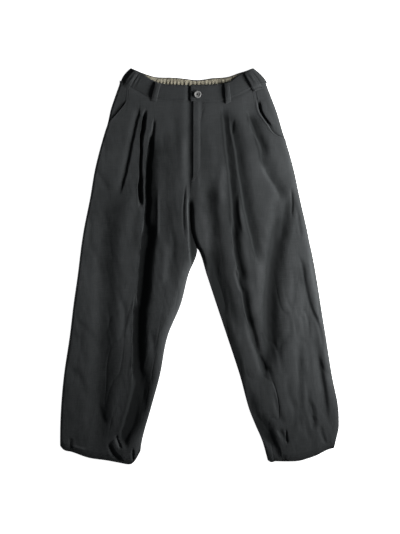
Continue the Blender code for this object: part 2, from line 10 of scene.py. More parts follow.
import bmesh
import bpy
import mathutils
import numpy as np
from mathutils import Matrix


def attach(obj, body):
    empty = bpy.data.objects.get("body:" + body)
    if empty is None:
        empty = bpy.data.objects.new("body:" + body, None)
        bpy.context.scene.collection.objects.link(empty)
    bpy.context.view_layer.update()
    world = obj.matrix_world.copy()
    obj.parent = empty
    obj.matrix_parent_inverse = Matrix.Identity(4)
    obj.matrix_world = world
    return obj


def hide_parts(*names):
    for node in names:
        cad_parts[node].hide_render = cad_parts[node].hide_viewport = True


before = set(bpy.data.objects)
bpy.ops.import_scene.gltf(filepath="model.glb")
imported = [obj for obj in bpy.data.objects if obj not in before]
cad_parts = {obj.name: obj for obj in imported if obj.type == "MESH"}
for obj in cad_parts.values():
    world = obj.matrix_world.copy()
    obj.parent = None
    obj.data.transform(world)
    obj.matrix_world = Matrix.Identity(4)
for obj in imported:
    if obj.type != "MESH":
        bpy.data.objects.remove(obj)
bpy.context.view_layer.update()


def table(kind, *rows):
    """Rows whose columns are named by kind."""
    return tuple(kind(*row) for row in rows)


# A low wave beside an edge: its height, how far in from the edge it is, and its half width
Swell = namedtuple("Swell", "height at width")

MM = 0.001

# Cloth
CLOTH_WALL = 0.8
BAND_WALL = 1.8  # a waistband is two layers with a stiffener between them
THIN_BAND_WALL = 0.7  # the least, where its side and lower edge meet
BACK_BAND_WALL = 1.2
FACING_WALL = 0.7
LOOP_WALL = 1.2
SEAM_ALLOWANCE = 3.0  # how far a front goes on under the waistband
SEAM_GAP = 0.4  # between the back panels
LAYER_GAP = 0.2
FRONT_TO_HIP = 0.25  # from a front's top down to the top of its hip piece

# Heights of the top surface above the table
EDGE_TOP = 1.8
VALLEY_TOP = 2.3  # the bed of the deepest folds
VALLEY_SOFTNESS = 0.6  # how gently the cloth comes down to it
BAND_TOP = 11.0
BAND_EDGE_TOP = 4.0
BACK_BAND_TOP = 1.6

# Waist, fly and crotch
CROTCH_Y = 38.0
FLY_BOTTOM_Y = 192.0
FLY_WIDTH = 25.0
FLY_RISE = 1.2  # how far the fly's facing lifts the right front
FLY_EDGE = Swell(1.0, 0, 1.2)
RIGHT_SINK = Swell(8.0, 0, 5.5)  # the right front's dip along the left one, below the fly
LEFT_SINK = Swell(4.6, 0, 10)  # the left front's dip along the fly's edge
LEFT_SINK_BELOW = 0.5
GUSSET_SINK = 9.0  # how deep the left front lies beside the crotch, and from where to where
GUSSET_SPAN = (-12, 165)
LEFT_UNDERLAP = 8  # how far each front goes on under the other one
RIGHT_UNDERLAP = 10
BACK_SEAM_X = -8.0
BACK_LIFT = 0.05  # from the table up to a back's underside
BACK_PRESSED = 0.45  # how far the back's creases are pressed up
BACK_SEAM_RISE = 0.6
WAIST_SEAM_Y = 430.0  # nominal first section, moved onto the waist seam
HIP_Y = 285.0  # from here down the sections no longer follow the waist seam
SHIN_Y = -330.0  # from here down they begin to follow the hem
HEM_Y = -469.0
HEM_DEPTH = 12.0  # how far up the hem is turned and stitched
HEM_TURN_WALL = 0.9  # how much thicker it is there, as a share of the cloth's wall

# Waves of a front below the waist seam, above the hem, and in from an open pocket mouth
SEAM_SWELLS = table(Swell, (1.0, 12, 34), (-0.6, 0, 4.0))
HEM_SWELLS = table(Swell, (-2.4, 0, 9), (-0.35, HEM_DEPTH, 1.6))
MOUTH_STITCH = 6.5  # how far in from the mouth its stitching runs
MOUTH_SWELLS = table(Swell, (-1.2, 0, 1.1), (-0.3, MOUTH_STITCH, 1.4))
MOUTH_LIFT_WIDTH = 8
MOUTH_TOP = 396.0  # above here the pocket mouths are sewn shut
GAPE_BOTTOM = 326.0  # the right mouth gapes from here up to its top
GAPE_DEPTH = 4.2

# Belt loops, button, gathers
LOOP_WIDTH = 14.0
LOOP_RISE = 2.6
LOOP_CROWN = 1.5  # how far its middle stands over its edges
LOOP_BELOW_SEAM = 0.24  # how far a loop goes on below the seam, as a share of the band
BACK_LOOP_TOP_Y = 440
BACK_LOOP_LENGTH = 35
BUTTON_CENTRE = (-4.7, 406.0)
BUTTON_RADIUS = 8.5
BUTTON_HEIGHT = 3.2
BUTTON_LIFT = 0.3  # from the waistband up to the button
HOLE_RADIUS = 0.95
HOLE_FROM_CENTRE = 2.1
BUTTONHOLE = (-10.0, 13.5)  # its ends, from the button's centre
GATHER_PITCH = 9.0
GATHER_HEIGHT = 0.5

# One row a section, from waist to hem: where each line of the leg crosses it. "pocket" is the
# front's own outer edge: the pocket mouth down to the hip, and the leg's edge below it.
LeftRow = namedtuple("LeftRow", "y outer pocket pleat_a pleat_b pleat_c soft inner")
LEFT_ROWS = table(LeftRow,
    (430, -189, -172, -138, -122, -106, -82, -22),
    (391, -203, -175, -143, -125, -108, -81, -22),
    (370, -210, -189, -146, -127, -109, -81, -22),
    (339, -217, -215, -152, -131, -111, -80, -22),
    (300, -229, -229, -161, -137, -113, -79, -22),
    (230, -247, -247, -175, -139, -120, -77, -22),
    (160, -259, -259, -193, -139, -121, -75, -23),
    (90, -273, -273, -206, -147, -125, -71, -21),
    (46, -280, -280, -209.5, -149.5, -128.4, -70, -8),
    (38, -281, -281, -210, -150, -129, -70, -5.5),
    (-20, -288, -288, -213, -158, -134, -74, -26),
    (-90, -298, -298, -214, -166, -139, -84, -44),
    (-165, -307, -307, -216, -172, -142, -98, -75),
    (-260, -321, -321, -220, -180, -143, -115, -94),
    (-340, -328, -328, -224, -190, -159, -134, -116),
    (-412, -330, -330, -224, -200, -180, -152, -136),
    (-469, -328, -328, -226, -208, -192, -165, -143),
)
RightRow = namedtuple("RightRow", "y inner shade pleat_a pleat_b pleat_c side pocket outer")
RIGHT_ROWS = table(RightRow,
    (430, -22, 16, 48, 72, 104, 117, 129, 158),
    (394, -22, 17, 53, 76, 112, 124, 136, 172),
    (365, -22, 19, 60, 80, 120, 131, 142, 183),
    (332, -22, 19, 64, 84, 134, 148, 164, 193),
    (318, -22, 20, 65, 86, 139, 154, 173, 197),
    (309, -22, 20, 66, 88, 141, 161, 184, 200),
    (303, -22, 20, 67, 89, 143, 166, 201, 202),
    (290, -22, 21, 68, 92, 148, 172, 206, 206),
    (230, -22, 24, 75, 101, 163, 195, 223, 223),
    (160, -23, 32, 81, 112, 203, 221, 238, 238),
    (90, -21, 39, 87, 126, 199, 229, 254, 254),
    (46, -7.5, 42, 92, 137, 193, 236, 263, 263),
    (38, -2, 43, 93, 139, 192, 237, 265, 265),
    (-20, 17, 47, 103, 147, 188, 246, 276, 276),
    (-90, 40, 61, 111, 151, 181, 262, 287, 287),
    (-165, 65, 84, 130, 158, 181, 282, 299, 299),
    (-260, 96, 112, 160, 171, 185, 290, 314, 314),
    (-340, 118, 134, 172, 183, 194, 302, 329, 329),
    (-375, 132, 148, 180, 193, 206, 312, 330, 330),
    (-412, 148, 166, 190, 204, 218, 308, 323, 323),
    (-469, 164, 178, 198, 212, 228, 296, 308, 308),
)

# What else differs between the legs. Roll is the width of the rounded outer edge, crown how far
# the surface curves down from its middle, and spans has the columns of the front's mesh from
# each line to the next.
Side = namedtuple("Side", "name sign seed roll crown stroke_depth mouth_lift mouth_end spans")
LEFT_SIDE = Side("left", -1, 11, 5.5, -3.0, 0.6, 0.5, 346, {
    "pocket": 36, "pleat_a": 28, "pleat_b": 22, "pleat_c": 32, "soft": 32, "inner": 1})
RIGHT_SIDE = Side("right", 1, 23, 13.0, 5.5, 1.3, 1.1, 316, {
    "inner": 26, "shade": 22, "pleat_a": 20, "pleat_b": 34, "pleat_c": 28, "side": 20, "pocket": 1})
INNER_ROLL = 22.0
EDGE_INSET = 0.15  # a rolled edge starts this far in
LEAST_COLUMN = 0.35  # the least width of a column

# The hip pieces behind the pocket mouths: how far they go in under the front's edge
HipRow = namedtuple("HipRow", "y under")
LEFT_HIP = table(HipRow, (430, 14), (391, 14), (370, 10), (355, 4), (345, -0.8))
RIGHT_HIP = table(HipRow, (430, 14), (365, 14), (340, 12), (322, 7), (312, 3), (306, -1))

# Corners of the waist seam and of the hems, from left to right
Point = namedtuple("Point", "x y")
LEFT_SEAM = table(Point, (-189, 436), (-172, 428), (-145, 412), (-128, 402), (-103, 395),
                  (-60, 391), (-22, 389))
RIGHT_SEAM = table(Point, (-22, 389), (13, 389), (51, 390), (77, 397), (100, 408), (126, 421),
                   (140, 428), (158, 435))
LEFT_HEM = table(Point, (-330, -423), (-321, -434), (-303, -439), (-263, -453), (-217, -460),
                 (-190, -465), (-165, -469), (-154, -461), (-143, -438))
RIGHT_HEM = table(Point, (154, -434), (159, -449), (165, -460), (172, -464), (179, -461.5),
                  (198, -462), (232, -461), (253, -456), (274, -448), (297, -434), (318, -428))

# The left front's free edge beside the crotch
GUSSET_EDGE = table(Point, (-26, 190), (-27, 145), (-25, 74), (-23, 38), (-18, 0), (-14, -20))

# Folds in the leg fronts. A fold follows a line of the table above, moved by shift, from top to
# bottom, fading in and out over fade. Depth is down; a ridge has a negative depth. Left and
# right are its half widths, and a high power gives it a flat bed with steep sides. Undercut is
# how far its left wall goes back under the edge above it.
Fold = namedtuple("Fold", "line shift top bottom fade depth left right power undercut",
                  defaults=(0,))
LEFT_FOLDS = table(Fold,
    ("pleat_a", 2, 384, 165, 34, 2.7, 9, 3, 2.0),
    ("pleat_a", -10, 215, -430, 90, 4.2, 22, 23, 2.2),
    ("pleat_b", 0, 374, 284, 34, 8.4, 3.4, 3.6, 3.0, 3.0),
    ("pleat_b", 0, 314, 190, 30, 8.0, 2.3, 2.5, 2.6, 2.0),
    ("pleat_b", 0, 220, 138, 30, 9.0, 4.2, 4.0, 3.0, 3.0),
    ("pleat_b", -10, 150, 20, 50, 1.4, 12, 14, 2.0),
    ("pleat_c", -2, 326, 60, 50, 9.0, 3, 5.5, 2.6, 5.0),
    ("pleat_c", 2, 316, 20, 50, 5.0, 5, 18, 1.8),
    ("pleat_c", -4, 110, -110, 50, 12.5, 3.5, 20, 3.0, 5.5),
    ("pleat_c", -10, -60, -290, 50, 11.5, 4, 20, 2.6, 5.5),
    ("pleat_c", -4, -240, -430, 50, 7.5, 8, 24, 1.8, 2.0),
    ("soft", -6, 335, -60, 60, 1.6, 16, 18, 2.0),
    ("soft", -8, -190, -420, 60, 3.0, 14, 26, 2.0),
)
RIGHT_FOLDS = table(Fold,
    ("shade", -9, 222, 10, 70, 4.4, 16, 16, 2.0),
    ("shade", -12, 70, -150, 70, 7.0, 18, 26, 2.0),
    ("shade", -26, -80, -300, 70, 4.0, 14, 18, 2.0),
    ("pleat_a", -2, 384, 60, 40, 4.2, 5, 11, 1.7, 1.6),
    ("pleat_a", -8, 112, -60, 40, 5.6, 3, 12, 1.9, 3.4),
    ("pleat_a", -4, -30, -160, 40, 4.6, 3, 10, 2.0, 2.4),
    ("pleat_a", -6, -110, -280, 50, 4.0, 7, 13, 2.0),
    ("pleat_b", -6, 372, -6, 50, 4.4, 4.6, 16, 1.7, 1.8),
    ("pleat_c", -4, 372, 225, 30, 3.0, 5, 18, 1.8, 2.0),
    ("side", -6, 40, -400, 70, 1.6, 10, 12, 2.0),
    ("shade", 4, -340, -440, 40, 3.6, 14, 18, 2.4),
    ("outer", -11, 60, -260, 80, -1.8, 13, 9, 2.0),
)
PAINTED_SHADE_DEPTH = 6.0  # a fold this deep gets the full painted shade in the cloth's colour
FOLD_WAVER = 1.1  # how far a fold's line wanders from side to side

# Single creases, each along a path of its own from its upper to its lower end
Crease = namedtuple("Crease", "path depth left right")
LEFT_CREASES = table(Crease,
    (((-107, 352), (-110, 320), (-113, 290)), 2.2, 2.5, 3.5),
    (((-98, 190), (-98, 110), (-100, 60)), -1.5, 4, 3),
    (((-40, 312), (-41, 205)), -0.8, 8, 8),
    (((-80, 60), (-82, 10), (-90, -60)), -1.6, 9, 9),
    (((-66, 90), (-62, 50), (-64, 5)), 0.6, 5, 7),
    (((-150, -300), (-158, -345), (-168, -385), (-182, -428)), 4.6, 9, 7),
    (((-132, -280), (-130, -320), (-136, -356)), 0.9, 7, 7),
    (((-31, 205), (-36, 157), (-38, 128), (-37, 97), (-34, 62)), 1.3, 1.8, 1.3),
    (((-29, 205), (-31, 130), (-29, 80)), -0.8, 3, 3),
    (((-216, -415), (-202, -444), (-182, -460)), 3.8, 5, 4),
    (((-197, -398), (-192, -416), (-184, -434)), 4.5, 3.5, 3),
    (((-178, -378), (-176, -434)), 3.0, 9, 8),
    (((-158, -430), (-157, -463)), 3.4, 2.5, 2.5),
    (((-304, -426), (-268, -434)), -1.6, 4, 3),
    (((-304, -404), (-306, -434)), 2.2, 3, 3),
    (((-241, -318), (-230, -352), (-219, -378)), 1.2, 7, 6),
    (((-262, 250), (-230, 205), (-214, 175)), 0.9, 9, 7),
    (((-268, 60), (-240, 20), (-232, -30)), 0.7, 8, 9),
    (((-300, -120), (-268, -150), (-240, -190)), 0.7, 8, 8),
    (((-312, -230), (-280, -270), (-262, -330)), 0.8, 9, 8),
    (((-190, -60), (-178, -110), (-180, -160)), 0.8, 7, 7),
    (((-60, 360), (-56, 320), (-60, 270)), 0.5, 9, 9),
    (((-116, -150), (-108, -190), (-112, -240)), 0.9, 7, 7),
    (((-240, 330), (-226, 300), (-222, 262)), 0.8, 6, 6),
    (((-266, 140), (-258, 96), (-262, 40)), 0.6, 6, 6),
)
FLY_STITCH = ((14, 388), (8, 370), (4, 358), (1, 334), (1, 251), (-6, 215), (-20, 192))
RIGHT_CREASES = table(Crease,
    (((119, 370), (122, 340), (129, 316), (142, 297), (150, 275), (156, 248)), 3.0, 3, 11),
    (((146, 264), (157, 228), (171, 204), (186, 180), (198, 148)), 3.8, 6, 19),
    (((84, -4), (94, -40), (104, -66)), 3.4, 3, 4),
    (((81, 350), (78, 306)), 1.3, 3, 3),
    (((193, 196), (184, 110), (178, 52), (170, 0), (164, -63), (162, -120), (164, -180),
      (156, -250), (152, -325)), 9.0, 15, 25),
    (((208, 172), (201, 110), (192, 50)), 2.8, 9, 14),
    (((92, 175), (95, 120), (106, 72)), -1.6, 3.5, 10),
    (FLY_STITCH, 0.7, 2, 3),
    (((217, 186), (219, 150), (218, 112)), 1.5, 3, 3),
    (((234, 30), (243, 0), (250, -45), (262, -95), (281, -134)), 1.4, 4, 5),
    (((262, -100), (284, -145), (296, -206)), 1.8, 5, 5),
    (((279, -196), (287, -250), (297, -310), (303, -372)), 2.6, 6, 6),
    (((233, -89), (234, -124)), 0.8, 3, 3),
    (((258, -100), (259, -173)), 1.0, 3, 4),
    (((232, -205), (236, -292)), 0.9, 3, 4),
    (((236, -165), (240, -345)), 1.6, 6, 5),
    (((112, -112), (126, -150), (140, -210)), 1.8, 5, 6),
    (((140, -206), (150, -232), (159, -254)), 2.4, 4, 5),
    (((257, -285), (259, -329), (264, -352), (274, -400)), 2.6, 4, 4),
    (((262, -316), (270, -350), (273, -392)), 4.2, 2.6, 3),
    (((284, -372), (291, -400), (300, -424)), 2.6, 3, 4),
    (((246, -330), (252, -372), (262, -418)), 1.6, 4, 5),
    (((222, -300), (226, -350), (222, -392)), 1.1, 5, 6),
    (((176, -296), (188, -346), (200, -378)), 1.3, 6, 7),
    (((158, -232), (170, -262), (184, -300)), 0.8, 4, 6),
    (((204, -384), (207, -422)), 2.2, 2.2, 2.6),
    (((184, -382), (198, -402), (211, -422)), 2.0, 6, 6),
    (((112, -280), (126, -345), (138, -384), (154, -428)), 3.6, 8, 15),
    (((158, -385), (170, -412), (181, -432), (188, -462)), 3.0, 13, 6),
    (((52, 250), (48, 190), (52, 130)), -1.3, 9, 12),
    (((140, 90), (160, 40), (164, -20)), 0.8, 9, 9),
    (((216, 20), (224, -40), (220, -110)), 0.9, 6, 6),
    (((120, -110), (140, -150), (150, -210)), 0.9, 8, 8),
    (((206, -260), (214, -310), (230, -350)), 1.4, 6, 6),
    (((244, -300), (238, -360), (248, -400)), 1.2, 5, 5),
    (((262, 30), (270, -20), (276, -60)), 1.2, 4, 4),
    (((228, 150), (236, 100), (240, 60)), 0.9, 4, 4),
    (((146, 40), (150, -30)), 0.7, 8, 8),
)
CREASE_FADE = 0.28  # the share of its length over which a crease fades at each end

# How high the middle of a leg stands, from waist to hem
Puff = namedtuple("Puff", "y top")
PUFF_ROWS = table(Puff, (430, 9.0), (330, 11.0), (200, 13.5), (60, 13.5), (-100, 12.5),
                  (-250, 11.0), (-380, 9.0), (-469, 6.5))

# The waistbands, in columns from left to right: their top edge and the seam below it
BandColumn = namedtuple("BandColumn", "top_x top_y seam_x seam_y")
BAND_LEFT = table(BandColumn, (-162, 469, -186, 437), (-148, 461, -171, 429),
                  (-129, 452, -145, 413), (-117, 443, -128, 403), (-94, 433, -103, 396),
                  (-58, 429, -60, 392), (-22.5, 428, -22.5, 390))
BAND_RIGHT = table(BandColumn, (-22, 428, -22, 390), (13, 429, 13, 390), (49, 431, 51, 391),
                   (72, 437, 77, 398), (86, 448, 100, 409), (105, 459, 126, 422),
                   (116, 464, 141, 428), (127, 469, 160, 434))
BAND_BACK = table(BandColumn, (-162, 469, -186, 436), (-131, 456, -146, 421),
                  (-98, 447, -106, 410), (-58, 446, -60, 409), (-30, 443, -31, 406),
                  (-8, 440.5, -8, 403), (8, 441.5, 8, 404), (30, 445, 32, 407), (67, 448, 73, 410),
                  (90, 456, 104, 421), (112, 463, 136, 429), (127, 469, 160, 434))
BAND_DEPTH = 38.0  # from its top edge to its seam
BAND_ROLL = 12.0  # width of its rounded end at the side
BAND_SWELL = 4.0  # how far that end bulges out, and over what length
SWELL_REACH = 26.0
GATHERED_SIDE = 44.0  # how much of a front band the elastic gathers
BAND_UNDERLAP = 1.2  # how much lower the left band lies than the right one at the fly

# The facing inside the back band
FACING_ENDS = 18.0  # how far short of the back band's ends it stops
FACING_LIFT = 1.6  # from the back band's top to its own
FACING_END_RISE = 3.0  # how much more its right end is lifted, and over what length
FACING_END_REACH = 45.0
FACING_TOP_DROP = 2.0  # how much lower than the band's its top edge lies in the picture
FACING_SLANT = 8.0  # and how much shorter than the band it is
DASH_COLUMN = 2.6  # its print: the pitch of the dashes and their half sizes
DASH_ROW = 5.2
DASH_HALF = (0.20, 0.30)  # as shares of the pitch

# Belt loops: how far along its band each is, and its width
Loop = namedtuple("Loop", "name along width")
LEFT_LOOPS = table(Loop, ("loop_side_left", 17, LOOP_WIDTH), ("loop_front_left", 81, LOOP_WIDTH))
RIGHT_LOOPS = table(Loop, ("loop_front_right", 88, LOOP_WIDTH - 1),
                    ("loop_side_right", 152, LOOP_WIDTH + 6))

# Each hem tuck is a folded strip between two edges, from its upper to its lower end
TuckRow = namedtuple("TuckRow", "left_x left_y right_x right_y")
TUCK_LEFT = table(TuckRow, (-212, -421, -193, -404), (-203, -431, -183, -423),
                  (-191, -444, -172, -434), (-177, -461, -160, -444))
TUCK_RIGHT = table(TuckRow, (170, -385, 180, -378), (182, -412, 195, -408), (192, -432, 206, -432),
                   (196, -455, 213, -456))
TUCK_LIFT = 1.6

# Stitches
STITCH_PITCH = 3.0
STITCH_LENGTH = 2.3
STITCH_RADIUS = 0.28
STITCH_ROWS_APART = 2.2  # the fly's two rows
TACK_PITCH = 0.55
TACK_RADIUS = 0.2

# The picture
PICTURE_HEIGHT = 1.2645  # metres of the table shown from top to bottom
PICTURE_CENTRE = (0.0012, -0.0019)
CAMERA_DISTANCE = 5.0
SENSOR = 36.0
FLOOR_GLOW = 0.96
AMBIENT = 0.115
SOFTBOX_PLACE = (0.98, 0.14, 0.37)
SOFTBOX_AIM = (0.0, 0.12, 0)
SOFTBOX_SIZE = (0.8, 0.3)
SOFTBOX_WATTS = 12.0
SOFTBOX_SPREAD = 84  # degrees


# ---- curves and noise

def curve(knots, values):
    """A smooth curve through the points of a table, which never swings past them."""
    order = np.argsort(knots)
    t = np.asarray(knots, float)[order]
    v = np.asarray(values, float)[order]
    step = np.diff(v) / np.diff(t)
    slope = np.concatenate([step[:1], 0.5 * (step[1:] + step[:-1]), step[-1:]])
    least = np.minimum(np.abs(step[1:]), np.abs(step[:-1]))
    steepest = np.where(step[1:] * step[:-1] > 0, 3 * least, 0)
    slope[1:-1] = np.clip(slope[1:-1], -steepest, steepest)

    def at(x):
        x = np.clip(x, t[0], t[-1])
        i = np.clip(np.searchsorted(t, x) - 1, 0, len(t) - 2)
        h = t[i + 1] - t[i]
        s = (x - t[i]) / h
        return ((2 * s**3 - 3 * s**2 + 1) * v[i] + (s**3 - 2 * s**2 + s) * h * slope[i]
                + (3 * s**2 - 2 * s**3) * v[i + 1] + (s**3 - s**2) * h * slope[i + 1])
    return at


def line_of(rows, knot, value):
    """A smooth function from one column of a table to another."""
    return curve([getattr(row, knot) for row in rows], [getattr(row, value) for row in rows])


def smooth_path(rows, steps):
    """Each column of a row of points, at steps from 0 to 1 along it."""
    knots = np.linspace(0, 1, len(rows))
    return [curve(knots, values)(steps) for values in np.array(rows, float).T]


def ease(s):
    """0 below 0, 1 above 1, and smooth between."""
    s = np.clip(s, 0, 1)
    return s * s * (3 - 2 * s)


def between(value, low, high, rise, fall):
    """1 from low to high, eased in over rise and out over fall, and 0 outside."""
    return ease((value - low) / rise) * ease((high - value) / fall)


def bump(distance, width):
    return np.exp(-(distance / width) ** 2)


def swells(distance, *rows):
    return sum(row.height * bump(distance - row.at, row.width) for row in rows)


def quarter_round(distance, width):
    """Rises from 0 at an edge to 1 at width, as a quarter of an ellipse does."""
    s = 1 - np.clip(distance / width, 0, 1)
    return np.sqrt(np.clip(1 - s * s, 0, 1))


def crowded(share, amount):
    """Shares from 0 to 1, moved closer together at both ends."""
    return share - amount * np.sin(2 * np.pi * share) / (2 * np.pi)


def noise(x, y, cell_x, cell_y, turn, seed):
    """Smooth seeded noise from -1 to 1, in cells of that size, turned by an angle."""
    values = np.random.default_rng(seed).uniform(-1, 1, (64, 64))
    u = (x * math.cos(turn) + y * math.sin(turn)) / cell_x + 500
    v = (y * math.cos(turn) - x * math.sin(turn)) / cell_y + 500
    i = np.floor(u).astype(int)
    j = np.floor(v).astype(int)
    s = ease(u - i)
    t = ease(v - j)
    a = values[i % 64, j % 64] * (1 - s) + values[(i + 1) % 64, j % 64] * s
    b = values[i % 64, (j + 1) % 64] * (1 - s) + values[(i + 1) % 64, (j + 1) % 64] * s
    return a * (1 - t) + b * t


def ridges(x, y, cell_x, cell_y, turn, seed, power):
    """Sharp lines, 1 where the noise crosses 0."""
    return (1 - np.abs(noise(x, y, cell_x, cell_y, turn, seed))) ** power


def crumple(x, y, seed):
    """Linen's own unevenness: broad swells, soft wrinkles along the leg and small sharp ones."""
    swell = 0.60 * noise(x, y, 46, 130, 0.08, seed) + 0.36 * noise(x, y, 22, 90, -0.10, seed + 1)
    sharp = ridges(x, y, 36, 120, 0.16, seed + 2, 4)
    sharper = ridges(x, y, 30, 90, -0.22, seed + 3, 4)
    fine = 0.14 * noise(x, y, 8, 26, 0.2, seed + 4) + 0.05 * noise(x, y, 4, 7, 0.5, seed + 5)
    return swell - 0.24 * sharp + 0.20 * sharper + fine


def half_width(across, shape):
    """A fold's half width: its left one, its right one, and smooth between."""
    return shape.left + (shape.right - shape.left) * ease(across / shape.left + 0.5)


def crease_relief(x, y, crease):
    """How far one crease lowers the cloth, from its own path."""
    path = np.stack(smooth_path(crease.path, np.linspace(0, 1, 4 * len(crease.path) + 1)), axis=1)
    total = np.zeros_like(x)
    reach = 3 * max(crease.left, crease.right)
    low, high = path.min(axis=0) - reach, path.max(axis=0) + reach
    near = (x > low[0]) & (x < high[0]) & (y > low[1]) & (y < high[1])
    if not near.any():
        return total
    px, py = x[near], y[near]
    best = np.full(px.shape, 1e9)
    across = np.zeros(px.shape)
    along = np.zeros(px.shape)
    for k, (a, b) in enumerate(zip(path, path[1:])):
        run = b - a
        share = np.clip(((px - a[0]) * run[0] + (py - a[1]) * run[1]) / (run @ run), 0, 1)
        dx = px - a[0] - share * run[0]
        dy = py - a[1] - share * run[1]
        distance = np.hypot(dx, dy)
        closer = distance < best
        side = np.sign(run[0] * dy - run[1] * dx)
        across = np.where(closer, side * distance, across)
        along = np.where(closer, (k + share) / (len(path) - 1), along)
        best = np.minimum(best, distance)
    fade = between(along, 0, 1, CREASE_FADE, CREASE_FADE)
    total[near] = crease.depth * fade * np.exp(-(across / half_width(across, crease)) ** 2)
    return total


puff = line_of(PUFF_ROWS, "y", "top")
gusset_line = line_of(GUSSET_EDGE, "y", "x")


# ---- the legs

class Leg:
    """One leg: its lines, its waist seam and hem, and the height of its front."""

    def __init__(self, side, rows, seam, hem, folds, creases):
        self.side = side
        self.name = side.name
        self.sign = side.sign
        self.lines = {name: line_of(rows, "y", name) for name in rows[0]._fields[1:]}
        self.seam = line_of(seam, "x", "y")
        self.hem = line_of(hem, "x", "y")
        self.folds = folds
        self.creases = creases

    def beside_folds(self, x, y):
        """Each fold, how much of it there is at that height, and how far across it a point is."""
        for fold in self.folds:
            along = between(y, fold.bottom, fold.top, fold.fade, fold.fade)
            waver = FOLD_WAVER * noise(0 * x + 50 * fold.depth, y, 9, 17, 0, self.side.seed + 12)
            yield fold, along, x - self.lines[fold.line](y) - fold.shift - waver

    def relief(self, x, y):
        """How far the folds and creases lower the cloth at a point."""
        total = np.zeros_like(x)
        for fold, along, across in self.beside_folds(x, y):
            width = half_width(across, fold)
            total += fold.depth * along * np.exp(-np.abs(across / width) ** fold.power)
        for crease in self.creases:
            total += crease_relief(x, y, crease)
        return total

    def edges(self, x, y):
        """How far a point is inside the leg's outer and inner edge."""
        return (self.sign * (self.lines["outer"](y) - x),
                self.sign * (x - self.lines["inner"](y)))

    def open_top(self, x, y):
        """Top of the front panel before its edges are rolled: its puff, less its folds."""
        top = puff(y) - self.relief(x, y) + self.centre_step(x, self.edges(x, y)[1], y)
        top += crumple(x, y, self.side.seed) * (0.35 + 0.85 * ease((380 - y) / 160))
        top += self.pocket_edge(x, y) - self.strokes(x, y)
        top += swells(self.seam(x) - y, *SEAM_SWELLS)
        top += swells(y - self.hem(x), *HEM_SWELLS)
        over = top - VALLEY_TOP
        return VALLEY_TOP + 0.5 * (over + np.sqrt(over * over + VALLEY_SOFTNESS))

    def strokes(self, x, y):
        """Fine wrinkles that run down the leg, more of them towards the hem."""
        lines = ridges(x, y, 15, 85, 0.17 * self.sign, self.side.seed + 9, 7)
        patches = ease(0.6 + noise(x, y, 50, 90, 0, self.side.seed + 10))
        return self.side.stroke_depth * lines * patches * ease((30 - y) / 160)

    def front_top(self, x, y):
        """Top of the front panel, rolled down at the leg's edges."""
        from_outer, from_inner = self.edges(x, y)
        middle = 0.5 * (self.lines["outer"](y) + self.lines["inner"](y))
        crown = self.side.crown * ((x - middle) / 120) ** 2
        top = np.maximum(self.open_top(x, y) - crown, VALLEY_TOP)
        below_crotch = ease((CROTCH_Y + 25 - y) / 50)
        roll = quarter_round(from_outer + EDGE_INSET, self.side.roll)
        roll *= 1 - below_crotch * (1 - quarter_round(from_inner + EDGE_INSET, INNER_ROLL))
        return EDGE_TOP + (top - EDGE_TOP) * roll

    def open_mouth(self, y):
        """1 where the pocket mouth is open, 0 where it is sewn shut or ends."""
        width = np.abs(self.lines["pocket"](y) - self.lines["outer"](y))
        return ease(width / 10) * ease((MOUTH_TOP - y) / 14)

    def pocket_edge(self, x, y):
        """The pocket mouth: its edge is rounded and stands up a little where it is open."""
        inside = np.clip(self.sign * (self.lines["pocket"](y) - x), 0, None)
        lift = Swell(self.side.mouth_lift, 0, MOUTH_LIFT_WIDTH)
        return self.open_mouth(y) * swells(inside, lift, *MOUTH_SWELLS)

    def centre_step(self, x, from_inner, y):
        """The fly: the right front stands over the left one, and below it the left front
        stands over the right one down to the crotch, where its gusset lies deep."""
        fly = ease((y - FLY_BOTTOM_Y + 20) / 40)
        below = between(y, CROTCH_Y - 60, FLY_BOTTOM_Y - 25, 60, 40)
        if self.sign > 0:
            strip = FLY_RISE * ease((FLY_WIDTH + 2 - from_inner) / 9)
            return (fly * (strip - swells(from_inner, FLY_EDGE))
                    - below * swells(from_inner, RIGHT_SINK))
        gusset = ease((x - gusset_line(y)) / 2.5 + 0.5) * between(y, *GUSSET_SPAN, 26, 30)
        return (-fly * swells(from_inner, LEFT_SINK) - below * LEFT_SINK_BELOW
                - gusset * GUSSET_SINK)

    def fold_walls(self, x, y):
        """1 on the folds' steep left walls, 0 away from them: where painted shade darkens the
        cloth's colour.
        """
        return sum(along * bump(across + 1.1 * fold.left, 1.1 * fold.left)
                   for fold, along, across in self.beside_folds(x, y) if fold.undercut)

    def sideways(self, x, y):
        """How far the folds' left walls are moved back under the edges above them."""
        return -sum(fold.undercut * along * bump(across + 0.4 * fold.left, fold.left)
                    for fold, along, across in self.beside_folds(x, y))

    def underlap(self, x, y):
        """How far the front goes on under the other one: the left one along the fly, the right
        one from there down to the crotch."""
        inner = self.lines["inner"](y)
        if self.sign < 0:
            along = ease((y - FLY_BOTTOM_Y - 4) / 16)
            return LEFT_UNDERLAP * along * ease((x - inner + 30) / 30)
        along = between(y, CROTCH_Y + 2, FLY_BOTTOM_Y - 30, 8, 20)
        return -RIGHT_UNDERLAP * along * ease((inner + 30 - x) / 30)


left_leg = Leg(LEFT_SIDE, LEFT_ROWS, LEFT_SEAM, LEFT_HEM, LEFT_FOLDS, LEFT_CREASES)
right_leg = Leg(RIGHT_SIDE, RIGHT_ROWS, RIGHT_SEAM, RIGHT_HEM, RIGHT_FOLDS, RIGHT_CREASES)
legs = (left_leg, right_leg)


